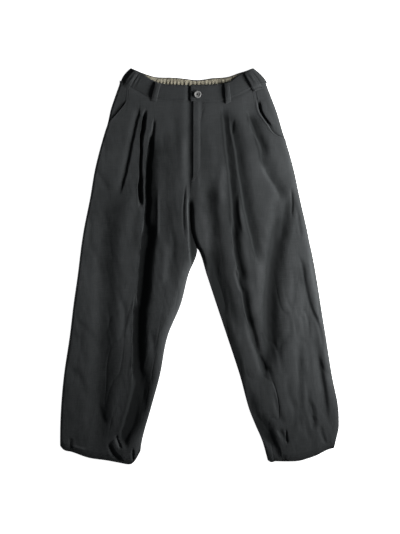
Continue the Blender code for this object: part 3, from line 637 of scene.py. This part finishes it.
def fitted_y(leg, x, y, above_seam):
    """Moves a section's y so that the first follows the waist seam and the last the hem."""
    seam = leg.seam(x) + above_seam
    upper = HIP_Y + (y - HIP_Y) / (WAIST_SEAM_Y - HIP_Y) * (seam - HIP_Y)
    lower = SHIN_Y + (y - SHIN_Y) / (HEM_Y - SHIN_Y) * (leg.hem(x) - SHIN_Y)
    return np.where(y > HIP_Y, upper, np.where(y < SHIN_Y, lower, y))


def panel_points(leg, sections, columns_at):
    """Rows of (x, y) over a leg, one row a section."""
    section = np.asarray(sections, float)[:, None]
    y = section + 0 * columns_at(section)
    for _ in range(4):
        x = columns_at(y)
        y = fitted_y(leg, x, section + 0 * x, SEAM_ALLOWANCE)
    return x, y


def front_columns(leg):
    """Columns of a front, closer together beside the lines that the folds follow."""
    spans = leg.side.spans
    names = list(spans)

    def at(y):
        gridded = y.shape[1] > 1
        parts = []
        first = 0
        for name, next_name in zip(names, names[1:]):
            own = y[:, first:first + spans[name]] if gridded else y
            start, end = leg.lines[name](own), leg.lines[next_name](own)
            share = crowded(np.arange(spans[name]) / spans[name], 0.45)
            parts.append(start + (end - start) * share)
            first += spans[name]
        x = np.concatenate(parts + [leg.lines[names[-1]](y)[:, -1:]], axis=1)
        steps = LEAST_COLUMN * np.arange(x.shape[1])
        x = np.maximum.accumulate(x - steps, axis=1) + steps
        return x + leg.underlap(x, y if gridded else y + 0 * x)
    return at


# ---- materials

class Look:
    """A material, with short ways to add its nodes."""

    def __init__(self, name, roughness, specular):
        self.material = bpy.data.materials.new(name)
        self.material.use_nodes = True
        self.tree = self.material.node_tree
        self.shader = self.tree.nodes["Principled BSDF"]
        self.set({"Roughness": roughness, "Specular IOR Level": specular})
        metres = self.add("TexCoord")["Object"]
        self.where = self.add("VectorMath", {0: metres, "Scale": 1 / MM}, operation="SCALE")[0]

    def set(self, values):
        for key, value in values.items():
            self.shader.inputs[key].default_value = value

    def add(self, kind, values=None, **settings):
        """A node with its settings, and its inputs as numbers or links. Returns its outputs."""
        node = self.tree.nodes.new("ShaderNode" + kind)
        for key, value in settings.items():
            setattr(node, key, value)
        for key, value in (values or {}).items():
            if isinstance(value, bpy.types.NodeSocket):
                self.tree.links.new(value, node.inputs[key])
            else:
                node.inputs[key].default_value = value
        return node.outputs

    def math(self, operation, *values):
        return self.add("Math", dict(enumerate(values)), operation=operation)[0]

    def times(self, a, b):
        return self.math("MULTIPLY", a, b)

    def plus(self, a, b):
        return self.math("ADD", a, b)

    def cloud(self, across, along, height, detail):
        """Noise from 0 to 1 whose cells are that many millimetres in X, Y and Z."""
        scaled = self.add("VectorMath", {0: self.where, 1: (1 / across, 1 / along, 1 / height)},
                          operation="MULTIPLY")[0]
        return self.add("TexNoise", {"Vector": scaled, "Scale": 1.0, "Detail": detail})[0]

    def weave(self, pitch):
        """A plain weave's bumps, from -1 to 1."""
        parts = self.add("SeparateXYZ", {0: self.where})
        turns = 2 * math.pi / pitch
        return self.times(*(self.math("SINE", self.times(parts[axis], turns)) for axis in "XY"))

    def bump(self, height, distance, strength):
        values = {"Height": height, "Distance": distance, "Strength": strength}
        self.tree.links.new(self.add("Bump", values)[0], self.shader.inputs["Normal"])

    def mix(self, factor, dark, light):
        """Two colours mixed; each is three numbers or a link."""
        dark, light = ((*end, 1) if isinstance(end, tuple) else end for end in (dark, light))
        return self.add("Mix", {0: factor, 6: dark, 7: light}, data_type="RGBA")[2]

    def colour(self, factor, dark, light):
        self.tree.links.new(self.mix(factor, dark, light), self.shader.inputs["Base Color"])


def linen_look():
    """Charcoal linen: uneven yarns both ways, with painted shade deepening its folds and its ridges
    painted lighter.
    """
    look = Look("charcoal linen", 0.92, 0.12)
    look.set({"Sheen Weight": 0.10, "Sheen Roughness": 0.45, "Sheen Tint": (0.62, 0.66, 0.70, 1)})
    yarns = look.plus(look.cloud(0.8, 26, 3, 2), look.cloud(26, 0.8, 3, 2))
    woven = look.weave(0.62)
    painted_shade = look.add("Attribute", attribute_name="painted_shade")["Fac"]
    tone = look.math("MULTIPLY_ADD", yarns, 0.40, -0.18)
    tone = look.plus(tone, look.times(look.cloud(46, 70, 20, 4), 0.55))
    tone = look.plus(tone, look.times(woven, 0.05))
    # Painted shade: darker in the folds' troughs and on their left walls, lighter on ridges.
    tone = look.math("SUBTRACT", tone, look.times(painted_shade, 0.55))
    look.colour(look.add("Clamp", {0: tone})[0], (0.0075, 0.0086, 0.0090),
                (0.0425, 0.0455, 0.0475))
    look.bump(look.plus(look.times(woven, 0.45), yarns), 0.0002, 0.35)
    return look.material


def facing_look():
    """Cream cotton printed with short rose-brown dashes in staggered rows; cream and dashes are
    painted darker to stand for the shade that the facing lies in.
    """
    look = Look("patterned facing", 0.85, 0.25)
    parts = look.add("SeparateXYZ", {0: look.add("UVMap", uv_map="cloth")[0]})
    column = look.math("DIVIDE", parts["X"], DASH_COLUMN)
    row = look.plus(look.math("DIVIDE", parts["Y"], DASH_ROW),
                    look.times(look.math("FLOOR", column), 0.5))
    across, down = (look.math("ABSOLUTE", look.math("SUBTRACT", look.math("FRACT", at), 0.5))
                    for at in (column, row))
    dash = look.times(look.math("LESS_THAN", across, DASH_HALF[0]),
                      look.math("LESS_THAN", down, DASH_HALF[1]))
    fine = look.cloud(0.5, 0.5, 0.5, 2)
    # Painted shade: the cream and the dashes are coloured darker for the shade under the front
    # band.
    shaded_cream = look.mix(look.cloud(14, 9, 9, 3), (0.10, 0.097, 0.067), (0.40, 0.385, 0.30))
    look.colour(look.times(dash, look.plus(fine, 0.35)), shaded_cream, (0.085, 0.045, 0.032))
    look.bump(look.plus(look.weave(0.5), fine), 0.0001, 0.3)
    return look.material


def button_look():
    look = Look("grey button", 0.32, 0.5)
    look.colour(look.cloud(3, 3, 2, 3), (0.11, 0.11, 0.11), (0.20, 0.20, 0.197))
    look.bump(look.cloud(0.6, 0.6, 0.6, 2), 0.00005, 0.2)
    return look.material


def thread_look():
    look = Look("charcoal thread", 0.6, 0.3)
    twist = look.cloud(0.3, 0.3, 0.3, 2)
    look.colour(twist, (0.010, 0.011, 0.012), (0.028, 0.030, 0.032))
    look.bump(twist, 0.0001, 0.4)
    return look.material


linen = linen_look()
facing = facing_look()
horn = button_look()
thread = thread_look()


# ---- making meshes

def surface(*parts):
    """Points from their coordinates."""
    return np.stack(np.broadcast_arrays(*parts), axis=-1)


def closed_cloth(name, points, wall=CLOTH_WALL, painted_shade=0.0, look=linen):
    """A closed sheet of cloth under rows of points on its top. Wall and the painted shade may vary
    from point to point; the painted shade, above 0 in troughs and below 0 on ridges, is kept for
    the cloth's colour: painted shade in troughs, painted lighter on ridges."""
    rows, columns = points.shape[:2]
    normal = np.cross(np.gradient(points, axis=0), np.gradient(points, axis=1))
    normal /= np.maximum(np.linalg.norm(normal, axis=2, keepdims=True), 1e-9)
    below = points - normal * np.broadcast_to(wall, (rows, columns))[..., None]
    count = rows * columns
    grid = np.arange(count).reshape(rows, columns)
    top = np.stack([grid[:-1, :-1], grid[1:, :-1], grid[1:, 1:], grid[:-1, 1:]], axis=-1)
    top = top.reshape(-1, 4)
    rim = np.concatenate([grid[:, 0], grid[-1, 1:], grid[-2::-1, -1], grid[0, -2:0:-1]])
    after = np.roll(rim, -1)
    side = np.stack([rim, rim + count, after + count, after], axis=1)
    mesh = mesh_from(name, np.concatenate([points.reshape(-1, 3), below.reshape(-1, 3)]),
                     np.concatenate([top, top[:, ::-1] + count, side]))
    layer = mesh.attributes.new("painted_shade", "FLOAT", "POINT")
    values = np.tile(np.broadcast_to(painted_shade, (rows, columns)).ravel(), 2)
    layer.data.foreach_set("value", values.astype(np.float32))
    return place(name, mesh, look)


def mesh_from(name, corners, faces):
    """A mesh of four-cornered faces, from arrays."""
    mesh = bpy.data.meshes.new(name)
    mesh.vertices.add(len(corners))
    mesh.vertices.foreach_set("co", (corners * MM).astype(np.float32).ravel())
    mesh.loops.add(faces.size)
    mesh.loops.foreach_set("vertex_index", faces.astype(np.int32).ravel())
    mesh.polygons.add(len(faces))
    mesh.polygons.foreach_set("loop_start", np.arange(0, faces.size, 4, dtype=np.int32))
    mesh.update(calc_edges=True)
    mesh.validate()
    mesh.shade_smooth()
    mesh.set_sharp_from_angle(angle=math.radians(65))
    return mesh


def place(name, data, look=None):
    item = bpy.data.objects.new(name, data)
    bpy.context.scene.collection.objects.link(item)
    if look:
        data.materials.append(look)
    return item


# ---- panels

FRONT_SECTIONS = np.concatenate([np.linspace(WAIST_SEAM_Y, 300, 60, endpoint=False),
                                 np.linspace(300, -380, 198, endpoint=False),
                                 np.linspace(-380, HEM_Y, 40)])
BACK_SECTIONS = np.linspace(WAIST_SEAM_Y, HEM_Y, 220)


def build_front(leg):
    x, y = panel_points(leg, FRONT_SECTIONS, front_columns(leg))
    hem_turn = 1 - ease((y - leg.hem(x) - HEM_DEPTH) / 1.5)
    # Painted shade: the cloth is coloured darker in its folds, its gusset and on the folds' left
    # walls, and lighter on its ridges.
    painted_shade = np.clip((puff(y) - leg.open_top(x, y)) / PAINTED_SHADE_DEPTH, -0.3, 1.3)
    painted_shade = np.clip(painted_shade + 1.2 * leg.fold_walls(x, y), -0.3, 1.6)
    points = surface(x + leg.sideways(x, y), y, leg.front_top(x, y))
    wall = CLOTH_WALL * (1 + HEM_TURN_WALL * hem_turn)
    return closed_cloth("cloth_front_" + leg.name, points, wall, painted_shade)


def build_back(leg):
    """A back panel, flat on the table, with shallow creases pressed up into its underside."""
    share = crowded(np.linspace(0, 1, 90), 0.6)[::-leg.sign]

    def columns_at(y):
        outer = leg.lines["outer"](y)
        inner = leg.lines["inner"](y)
        seam = BACK_SEAM_X + leg.sign * SEAM_GAP / 2
        mix = ease((y - CROTCH_Y) / 60)
        return outer + (inner + (seam - inner) * mix - outer) * share

    section = BACK_SECTIONS[:, None]
    x = columns_at(section + 0 * share)
    y = fitted_y(leg, x, section + 0 * x, 0)
    x = columns_at(y)
    seam_y = np.interp(x[0], [column.seam_x for column in BAND_BACK],
                       [column.seam_y for column in BAND_BACK])
    y = y + ease((y - 300) / (y[0] - 300)) * (seam_y + 2 - y[0])
    from_outer, from_inner = leg.edges(x, y)
    pressed = ridges(x, y, 38, 110, 0.12, leg.side.seed + 7, 4)
    pressed += ridges(x, y, 30, 64, -0.35, leg.side.seed + 8, 6)
    inside = ease(np.minimum(from_outer, from_inner + 400 * ease((y - CROTCH_Y) / 40)) / 12)
    z = CLOTH_WALL + BACK_LIFT + BACK_PRESSED * pressed * inside
    z += BACK_SEAM_RISE * bump(x - BACK_SEAM_X, 2.0) * ease((y - CROTCH_Y) / 20)
    # Painted shade along its pressed creases.
    return closed_cloth("cloth_back_" + leg.name, surface(x, y, z), painted_shade=0.2 * pressed)


def build_hip(leg, rows):
    """The piece behind a pocket mouth, from under the front's edge out to the side."""
    share = np.linspace(0, 1, 30)[::-leg.sign]
    upward = rows[::-1]

    def columns_at(y):
        under = np.interp(y, [row.y for row in upward], [row.under for row in upward])
        outer = leg.lines["outer"](y)
        return outer + (leg.lines["pocket"](y) - leg.sign * under - outer) * share

    x, y = panel_points(leg, np.linspace(rows[0].y, rows[-1].y, 56), columns_at)
    from_mouth = leg.sign * (x - leg.lines["pocket"](y))
    mouth = leg.open_mouth(y)
    front = leg.front_top(x, y)
    z = front
    if leg.sign > 0:
        gape = between(y, GAPE_BOTTOM, MOUTH_TOP, 18, 20)
        trough = between(from_mouth, -4, 8, 4, 4)
        z = z + (gape * (0.8 * bump(from_mouth - 12, 6) - GAPE_DEPTH * trough) - 0.8 * mouth)
    under = ease((2 - from_mouth) / 3)
    z = np.minimum(z, front - FRONT_TO_HIP - 1.1 * under - 0.6 * ease(-from_mouth / 3))
    z = np.maximum(z, EDGE_TOP - 0.4)
    # Painted shade beside the open pocket mouth, where the hip piece lies under the front's edge.
    return closed_cloth("cloth_hip_" + leg.name, surface(x, y, z),
                        painted_shade=mouth * bump(from_mouth - 2, 6))


# ---- waistbands

class Band:
    """A waistband as a surface, along from its left end in millimetres and down from 0 to 1. Its
    sign is -1 for the left front one, 1 for the right front one and 0 for the back one."""

    def __init__(self, name, columns, sign, top=0, fly_edge=None):
        top_x, top_y, seam_x, seam_y = np.array(columns, float).T
        steps = np.hypot(np.diff(top_x + seam_x), np.diff(top_y + seam_y)) / 2
        knots = np.concatenate([[0], np.cumsum(steps)])
        self.name = name
        self.length = knots[-1]
        self.upper = (curve(knots, top_x), curve(knots, top_y))
        self.lower = (curve(knots, seam_x), curve(knots, seam_y))
        self.sign = sign
        self.top = top
        self.fly_edge = fly_edge

    def grid(self, columns, rows, inset=0):
        return (np.linspace(inset, self.length - inset, columns),
                np.linspace(0, 1, rows)[:, None])

    def from_side(self, along):
        return along if self.sign < 0 else self.length - along

    def place(self, along, down):
        """Where a point of the band lies, seen from above."""
        x, y = (high(along) + (low(along) - high(along)) * down
                for high, low in zip(self.upper, self.lower))
        swell = np.clip(1 - (2 * down - 1) ** 2, 0, None)
        right = (1 - ease((self.length - along) / SWELL_REACH)) * (self.sign >= 0)
        left = (1 - ease(along / SWELL_REACH)) * (self.sign <= 0)
        return x + BAND_SWELL * swell * (right - left), y

    def height(self, along, down):
        """Top of a front band: nearly flat, gathered by the elastic and rolled at its side."""
        from_side = self.from_side(along)
        roll = quarter_round(from_side + 0.3, BAND_ROLL)
        top = self.top - 0.6 * (2 * down - 1) ** 2
        top = top + 0.35 * noise(along, BAND_DEPTH * down, 21, 30, 0.2, 5)
        top = top - 0.9 * bump(down, 0.035) - 0.7 * bump(1 - down, 0.035)
        top = top + swells(self.length - from_side, self.fly_edge)
        near_side = ease((GATHERED_SIDE - from_side) / 20)
        return (BAND_EDGE_TOP + (top - BAND_EDGE_TOP) * roll
                + near_side * roll * gathers(along, down, GATHER_HEIGHT))


def gathers(along, down, height):
    """Waves that the elastic draws the cloth into, uneven along the band."""
    wave = np.sin(2 * np.pi * along / GATHER_PITCH + 1.3 * np.sin(along / 17.0))
    return height * wave * (0.55 + 0.45 * np.cos(2 * np.pi * (down - 0.5)))


left_band = Band("left", BAND_LEFT, -1, BAND_TOP - BAND_UNDERLAP, Swell(-2.6, 0, 8))
right_band = Band("right", BAND_RIGHT, 1, BAND_TOP, Swell(-0.9, 0, 1.3))
back_band = Band("back", BAND_BACK, 0)


def build_front_band(band):
    along, down = band.grid(150, 34)
    thinner_side = 0.9 * (1 - ease(band.from_side(along) / 20))
    wall = np.maximum(BAND_WALL - thinner_side - 0.8 * ease((down - 0.85) / 0.1), THIN_BAND_WALL)
    points = surface(*band.place(along, down), band.height(along, down))
    return closed_cloth("cloth_band_" + band.name, points, wall)


def back_band_top(along, down):
    fade = between(along, 0, back_band.length, 12, 12)
    return BACK_BAND_TOP + fade * (1.6 + gathers(along, down, GATHER_HEIGHT))


def build_back_band():
    along, down = back_band.grid(260, 26)
    z = back_band_top(along, down) - 0.6 * bump(down, 0.04) + 0.2
    return closed_cloth("cloth_band_back", surface(*back_band.place(along, down), z),
                        BACK_BAND_WALL)


def build_facing():
    """The cotton facing inside the back waistband, shirred by its elastic."""
    along, down = back_band.grid(260, 26, FACING_ENDS)
    x, y = back_band.place(along, down)
    y = y - FACING_TOP_DROP + FACING_SLANT * down
    start, end = FACING_ENDS, back_band.length - FACING_ENDS
    ends = between(along, start, end, 10, 10)
    shirring = (gathers(along, down, 0.4) + 0.7 * noise(along, BAND_DEPTH * down, 2.1, 12, 0.3, 40)
                + 0.6 * noise(along, BAND_DEPTH * down, 5, 16, 0, 41))
    rise = FACING_END_RISE * ease((along - 0.5 * back_band.length) / 40)
    z = back_band_top(along, down) + FACING_LIFT + 0.6 * ends * shirring
    z = z + rise * (1 - ease((np.minimum(along - start, end - along) - FACING_END_REACH) / 40))
    z = z - 0.9 * bump(down, 0.05)
    item = closed_cloth("cloth_band_facing", surface(x, y, z), FACING_WALL, look=facing)
    flat = np.tile(surface(along, BAND_DEPTH * down).reshape(-1, 2), (2, 1))
    corner = np.empty(len(item.data.loops), np.int32)
    item.data.loops.foreach_get("vertex_index", corner)
    layer = item.data.uv_layers.new(name="cloth")
    layer.data.foreach_set("uv", flat[corner].astype(np.float32).ravel())
    return item


def loop_surface(loop, band, leg, share, down):
    """Points on a loop's top: share is across it from -1 to 1, down along it from 0 to 1."""
    reach = 0.01 + (0.99 + LOOP_BELOW_SEAM) * down
    along = loop.along + share * loop.width / 2
    x, y = band.place(along, reach)
    on_band = band.height(along, np.minimum(reach, 1))
    on_front = leg.front_top(x, y)
    under = on_band + (np.minimum(on_front, on_band) - on_band) * ease((reach - 1.02) / 0.06)
    arch = np.sqrt(np.clip(np.sin(np.pi * down), 0, 1))
    crown = LOOP_CROWN * (1 - share * share) * arch
    return surface(x, y, under + LAYER_GAP + LOOP_WALL + (LOOP_RISE - 0.6) * arch + crown)


def build_loop(loop, band, leg):
    """A strap with a rounded cross-section, arched over the band so that a belt passes under."""
    share = np.linspace(-1, 1, 15)
    points = loop_surface(loop, band, leg, share, np.linspace(0, 1, 44)[:, None])
    points[..., 2] -= 0.5 * (np.abs(share) > 0.95)
    return closed_cloth("cloth_" + loop.name, points, LOOP_WALL)


def build_back_loop():
    """The centre back loop, flat between the back waistband and the table."""
    share = np.linspace(-1, 1, 9)
    down = np.linspace(0, 1, 16)[:, None]
    return closed_cloth("cloth_loop_back", surface(
        BACK_SEAM_X + share * LOOP_WIDTH / 2, BACK_LOOP_TOP_Y - BACK_LOOP_LENGTH * down,
        0.9 - 0.15 * share**4))


# ---- hem tucks and button

def build_tuck(leg, rows):
    """A folded strip on a leg's front, with a soft rolled edge."""
    share = np.linspace(0, 1, 16)
    down = np.linspace(0, 1, 36)[:, None]
    left_x, left_y, right_x, right_y = smooth_path(rows, down)
    x, y = left_x + (right_x - left_x) * share, left_y + (right_y - left_y) * share
    swell = 0.7 * np.sin(np.pi * share) * (0.6 + 0.4 * np.sin(5 * down + 1))
    ends = 1 - 0.7 * (bump(down, 0.08) + bump(1 - down, 0.08))
    z = leg.front_top(x, y) + TUCK_LIFT * ends + swell
    return closed_cloth("cloth_hem_tuck_" + leg.name, surface(x, y, z))


def build_button():
    """A turned disc with a raised rim, a dished middle and four holes."""
    r = BUTTON_RADIUS
    h = BUTTON_HEIGHT
    profile = ((0.0, h - 1.0), (0.40 * r, h - 0.95), (0.58 * r, h - 0.8), (0.68 * r, h - 0.35),
               (0.76 * r, h - 0.05), (0.86 * r, h), (0.94 * r, h - 0.2), (0.985 * r, h - 0.6),
               (r, h - 1.2), (0.99 * r, 1.0), (0.96 * r, 0.5), (0.88 * r, 0.1), (0.80 * r, 0),
               (0.0, 0.0))
    work = bmesh.new()
    corners = [work.verts.new((x * MM, 0, z * MM)) for x, z in profile]
    for a, b in zip(corners, corners[1:]):
        work.edges.new((a, b))
    bmesh.ops.spin(work, geom=work.verts[:] + work.edges[:], cent=(0, 0, 0), axis=(0, 0, 1),
                   angle=2 * math.pi, steps=64, use_merge=True)
    bmesh.ops.remove_doubles(work, verts=work.verts[:], dist=1e-6)
    bmesh.ops.recalc_face_normals(work, faces=work.faces[:])
    mesh = bpy.data.meshes.new("button_turned")
    work.to_mesh(mesh)
    work.free()
    mesh.shade_smooth()
    item = place("button_turned", mesh, horn)
    item.location = (BUTTON_CENTRE[0] * MM, BUTTON_CENTRE[1] * MM, (BAND_TOP + BUTTON_LIFT) * MM)
    for turn in range(4):
        angle = math.radians(45 + 90 * turn)
        cut_hole(item, item.location.x + HOLE_FROM_CENTRE * MM * math.cos(angle),
                 item.location.y + HOLE_FROM_CENTRE * MM * math.sin(angle))
    return item


def cut_hole(item, x, y):
    """One thread hole, cut right through."""
    bpy.ops.mesh.primitive_cylinder_add(vertices=24, radius=HOLE_RADIUS * MM, depth=12 * MM,
                                        location=(x, y, item.location.z))
    cutter = bpy.context.object
    cut = item.modifiers.new("hole", "BOOLEAN")
    cut.operation = "DIFFERENCE"
    cut.object = cutter
    bpy.context.view_layer.objects.active = item
    bpy.ops.object.modifier_apply(modifier=cut.name)
    bpy.data.objects.remove(cutter, do_unlink=True)


# ---- sewing

# A stitch has four rings of six corners, and two faces at each end
RINGS = ((0.0, 0.45), (0.16, 1.0), (0.84, 1.0), (1.0, 0.45))  # shares of its length and radius
STITCH_FACES = [(ring + k, ring + k + 6, ring + (k + 1) % 6 + 6, ring + (k + 1) % 6)
                for ring in (0, 6, 12) for k in range(6)]
STITCH_FACES += [(0, 1, 2, 3), (3, 4, 5, 0), (21, 20, 19, 18), (18, 23, 22, 21)]


class Sewing:
    """Stitches, gathered into one object."""

    def __init__(self):
        self.corners = []

    def stitch(self, start, end, radius=STITCH_RADIUS):
        run = end - start
        along = run / np.linalg.norm(run)
        side = np.cross(along, (0, 0, 1))
        side /= np.linalg.norm(side)
        up = np.cross(side, along)
        for share, size in RINGS:
            rise = 0.35 * radius * math.sin(math.pi * share)
            for k in range(6):
                angle = math.pi / 3 * k
                out = side * math.cos(angle) + up * math.sin(angle)
                self.corners.append(start + run * share + up * rise + radius * size * out)

    def line(self, path):
        """Stitches along a row of points."""
        reach = np.concatenate([[0], np.cumsum(np.linalg.norm(np.diff(path, axis=0), axis=1))])
        for k in range(int(reach[-1] / STITCH_PITCH)):
            start = k * STITCH_PITCH + 0.2
            self.stitch(*(np.array([np.interp(at, reach, path[:, axis]) for axis in range(3)])
                          for at in (start, start + STITCH_LENGTH)))

    def tack(self, a, b, width):
        """A bar tack from a to b: close stitches across it."""
        a, b = np.asarray(a, float), np.asarray(b, float)
        run = b - a
        side = np.cross(run / np.linalg.norm(run), (0, 0, 1)) * width / 2
        for share in np.linspace(0, 1, max(3, int(np.linalg.norm(run) / TACK_PITCH))):
            middle = a + run * share + np.array([0, 0, 0.15])
            self.stitch(middle - side, middle + side, TACK_RADIUS)

    def build(self, name):
        first = np.arange(0, len(self.corners), 24)[:, None, None]
        faces = (first + np.array(STITCH_FACES)).reshape(-1, 4)
        return place(name, mesh_from(name, np.array(self.corners), faces), thread)


def on_front(leg, points, count):
    """Points on a front's top, along a route given from above."""
    x, y = smooth_path(points, np.linspace(0, 1, count))
    return surface(x + leg.sideways(x, y), y, leg.front_top(x, y) + 0.12)


def sew_front(leg):
    """Topstitching of one front: its hem, its pocket mouth and, on the right, the fly."""
    sewing = Sewing()
    x = np.linspace(leg.lines["outer"](-440) - leg.sign * 8,
                    leg.lines["inner"](-440) + leg.sign * 8, 160)
    y = leg.hem(x) + HEM_DEPTH
    sewing.line(surface(x, y, leg.front_top(x, y) + 0.1))
    y = np.linspace(leg.seam(leg.lines["pocket"](420)) - 6, leg.side.mouth_end, 70)
    x = leg.lines["pocket"](y) - leg.sign * MOUTH_STITCH
    sewing.line(surface(x, y, leg.front_top(x, y) + 0.15))
    if leg.sign > 0:
        sewing.line(on_front(leg, FLY_STITCH, 140))
        second_row = [(x - STITCH_ROWS_APART, y) for x, y in FLY_STITCH]
        sewing.line(on_front(leg, second_row, 140))
        sewing.tack(*on_front(leg, ((-19, 200), (-14, 204)), 2), 2.2)
    return sewing.build("sewing_front_" + leg.name)


def sew_band(band, leg, loops):
    """Topstitching of a front band's edges, and its loops' edges and bar tacks."""
    sewing = Sewing()
    along = np.linspace(2, band.length - 2, 220)
    for down in (0.075, 0.93):
        sewing.line(surface(*band.place(along, down), band.height(along, down) + 0.15))
    for loop in loops:
        down = np.linspace(0.03, 0.97, 40)
        for share in (-0.72, 0.72):
            sewing.line(loop_surface(loop, band, leg, share, down) + np.array([0, 0, 0.1]))
        for end in (0.035, 0.95):
            left, right = (loop_surface(loop, band, leg, share, end) for share in (-0.9, 0.9))
            sewing.tack(left, right, 2.0)
    return sewing.build("sewing_band_" + band.name)


def sew_button():
    """The thread through the button's holes, and the buttonhole that it lies on."""
    sewing = Sewing()
    x, y = BUTTON_CENTRE
    top = BAND_TOP + BUTTON_LIFT + BUTTON_HEIGHT - 0.75
    for turn in (45, 135):
        angle = math.radians(turn)
        way = np.array([math.cos(angle), math.sin(angle), 0])
        for shift in (-0.35, 0, 0.35):
            middle = np.array([x, y, top]) + shift * np.array([-way[1], way[0], 0])
            sewing.stitch(middle - HOLE_FROM_CENTRE * way, middle + HOLE_FROM_CENTRE * way, 0.3)
    for step in np.arange(*BUTTONHOLE, 0.6):
        for side in (-1, 1):
            base = np.array([x + step, y + 1 + side * 0.5, BAND_TOP + 0.25])
            sewing.stitch(base, base + np.array([0.05, side * 1.5, -0.05]), 0.26)
    sewing.tack((x + 13.6, y - 0.8, BAND_TOP + 0.1), (x + 13.6, y + 2.8, BAND_TOP + 0.1), 1.4)
    return sewing.build("sewing_button")


# ---- stage

def build_floor():
    bpy.ops.mesh.primitive_plane_add(size=14, location=(0, 0, -0.0006))
    floor = bpy.context.object
    floor.name = "floor"
    look = Look("pale floor", 0.9, 0.2)
    look.colour(look.cloud(400, 400, 400, 2), (0.84, 0.84, 0.84), (0.88, 0.88, 0.88))
    look.set({"Emission Color": (1, 1, 1, 1), "Emission Strength": FLOOR_GLOW})
    floor.data.materials.append(look.material)


def build_softbox():
    data = bpy.data.lights.new("softbox", "AREA")
    data.shape = "RECTANGLE"
    data.size, data.size_y = SOFTBOX_SIZE
    data.energy = SOFTBOX_WATTS
    data.spread = math.radians(SOFTBOX_SPREAD)
    data.color = (1, 0.99, 0.98)
    light = place("softbox", data)
    light.location = SOFTBOX_PLACE
    away = np.array(SOFTBOX_PLACE) - np.array(SOFTBOX_AIM)
    light.rotation_mode = "QUATERNION"
    light.rotation_quaternion = mathutils.Vector(away).to_track_quat("Z", "Y")


def build_stage():
    build_floor()
    build_softbox()
    world = bpy.data.worlds.new("studio")
    world.use_nodes = True
    background = world.node_tree.nodes["Background"].inputs
    background["Color"].default_value = (0.93, 0.97, 1, 1)
    background["Strength"].default_value = AMBIENT
    scene = bpy.context.scene
    scene.world = world
    scene.view_settings.view_transform = "Standard"
    scene.view_settings.look = "None"
    camera = bpy.data.cameras.new("camera")
    camera.sensor_width = SENSOR
    camera.lens = SENSOR * CAMERA_DISTANCE / PICTURE_HEIGHT
    camera.clip_end = 50
    scene.camera = place("camera", camera)
    scene.camera.location = (*PICTURE_CENTRE, CAMERA_DISTANCE)


# ---- the pieces

# Each sheet's flat size in metres, its area in square metres where it isn't a rectangle, and what
# it lies on
Cut = namedtuple("Cut", "flat area rests_on")
sides = ((left_leg, left_band, LEFT_LOOPS), (right_leg, right_band, RIGHT_LOOPS))


def dress(piece):
    """One cloth piece: it rides on the only body and stands for its solid."""
    node = piece.name.removeprefix("cloth_")
    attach(piece, "root")
    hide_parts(node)


build_stage()
pieces = [build_back(leg) for leg in legs] + [build_front(leg) for leg in legs]
pieces += [build_hip(left_leg, LEFT_HIP), build_hip(right_leg, RIGHT_HIP),
           build_front_band(left_band), build_front_band(right_band), build_back_band(),
           build_facing(), build_back_loop(), build_tuck(left_leg, TUCK_LEFT),
           build_tuck(right_leg, TUCK_RIGHT)]
for leg, band, loops in sides:
    for loop in loops:
        pieces.append(build_loop(loop, band, leg))
for piece in pieces:
    dress(piece)

button = build_button()
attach(button, "root")
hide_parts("button")
for sewn in [*(sew_front(leg) for leg in legs),
             *(sew_band(band, leg, loops) for leg, band, loops in sides), sew_button()]:
    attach(sewn, "root")
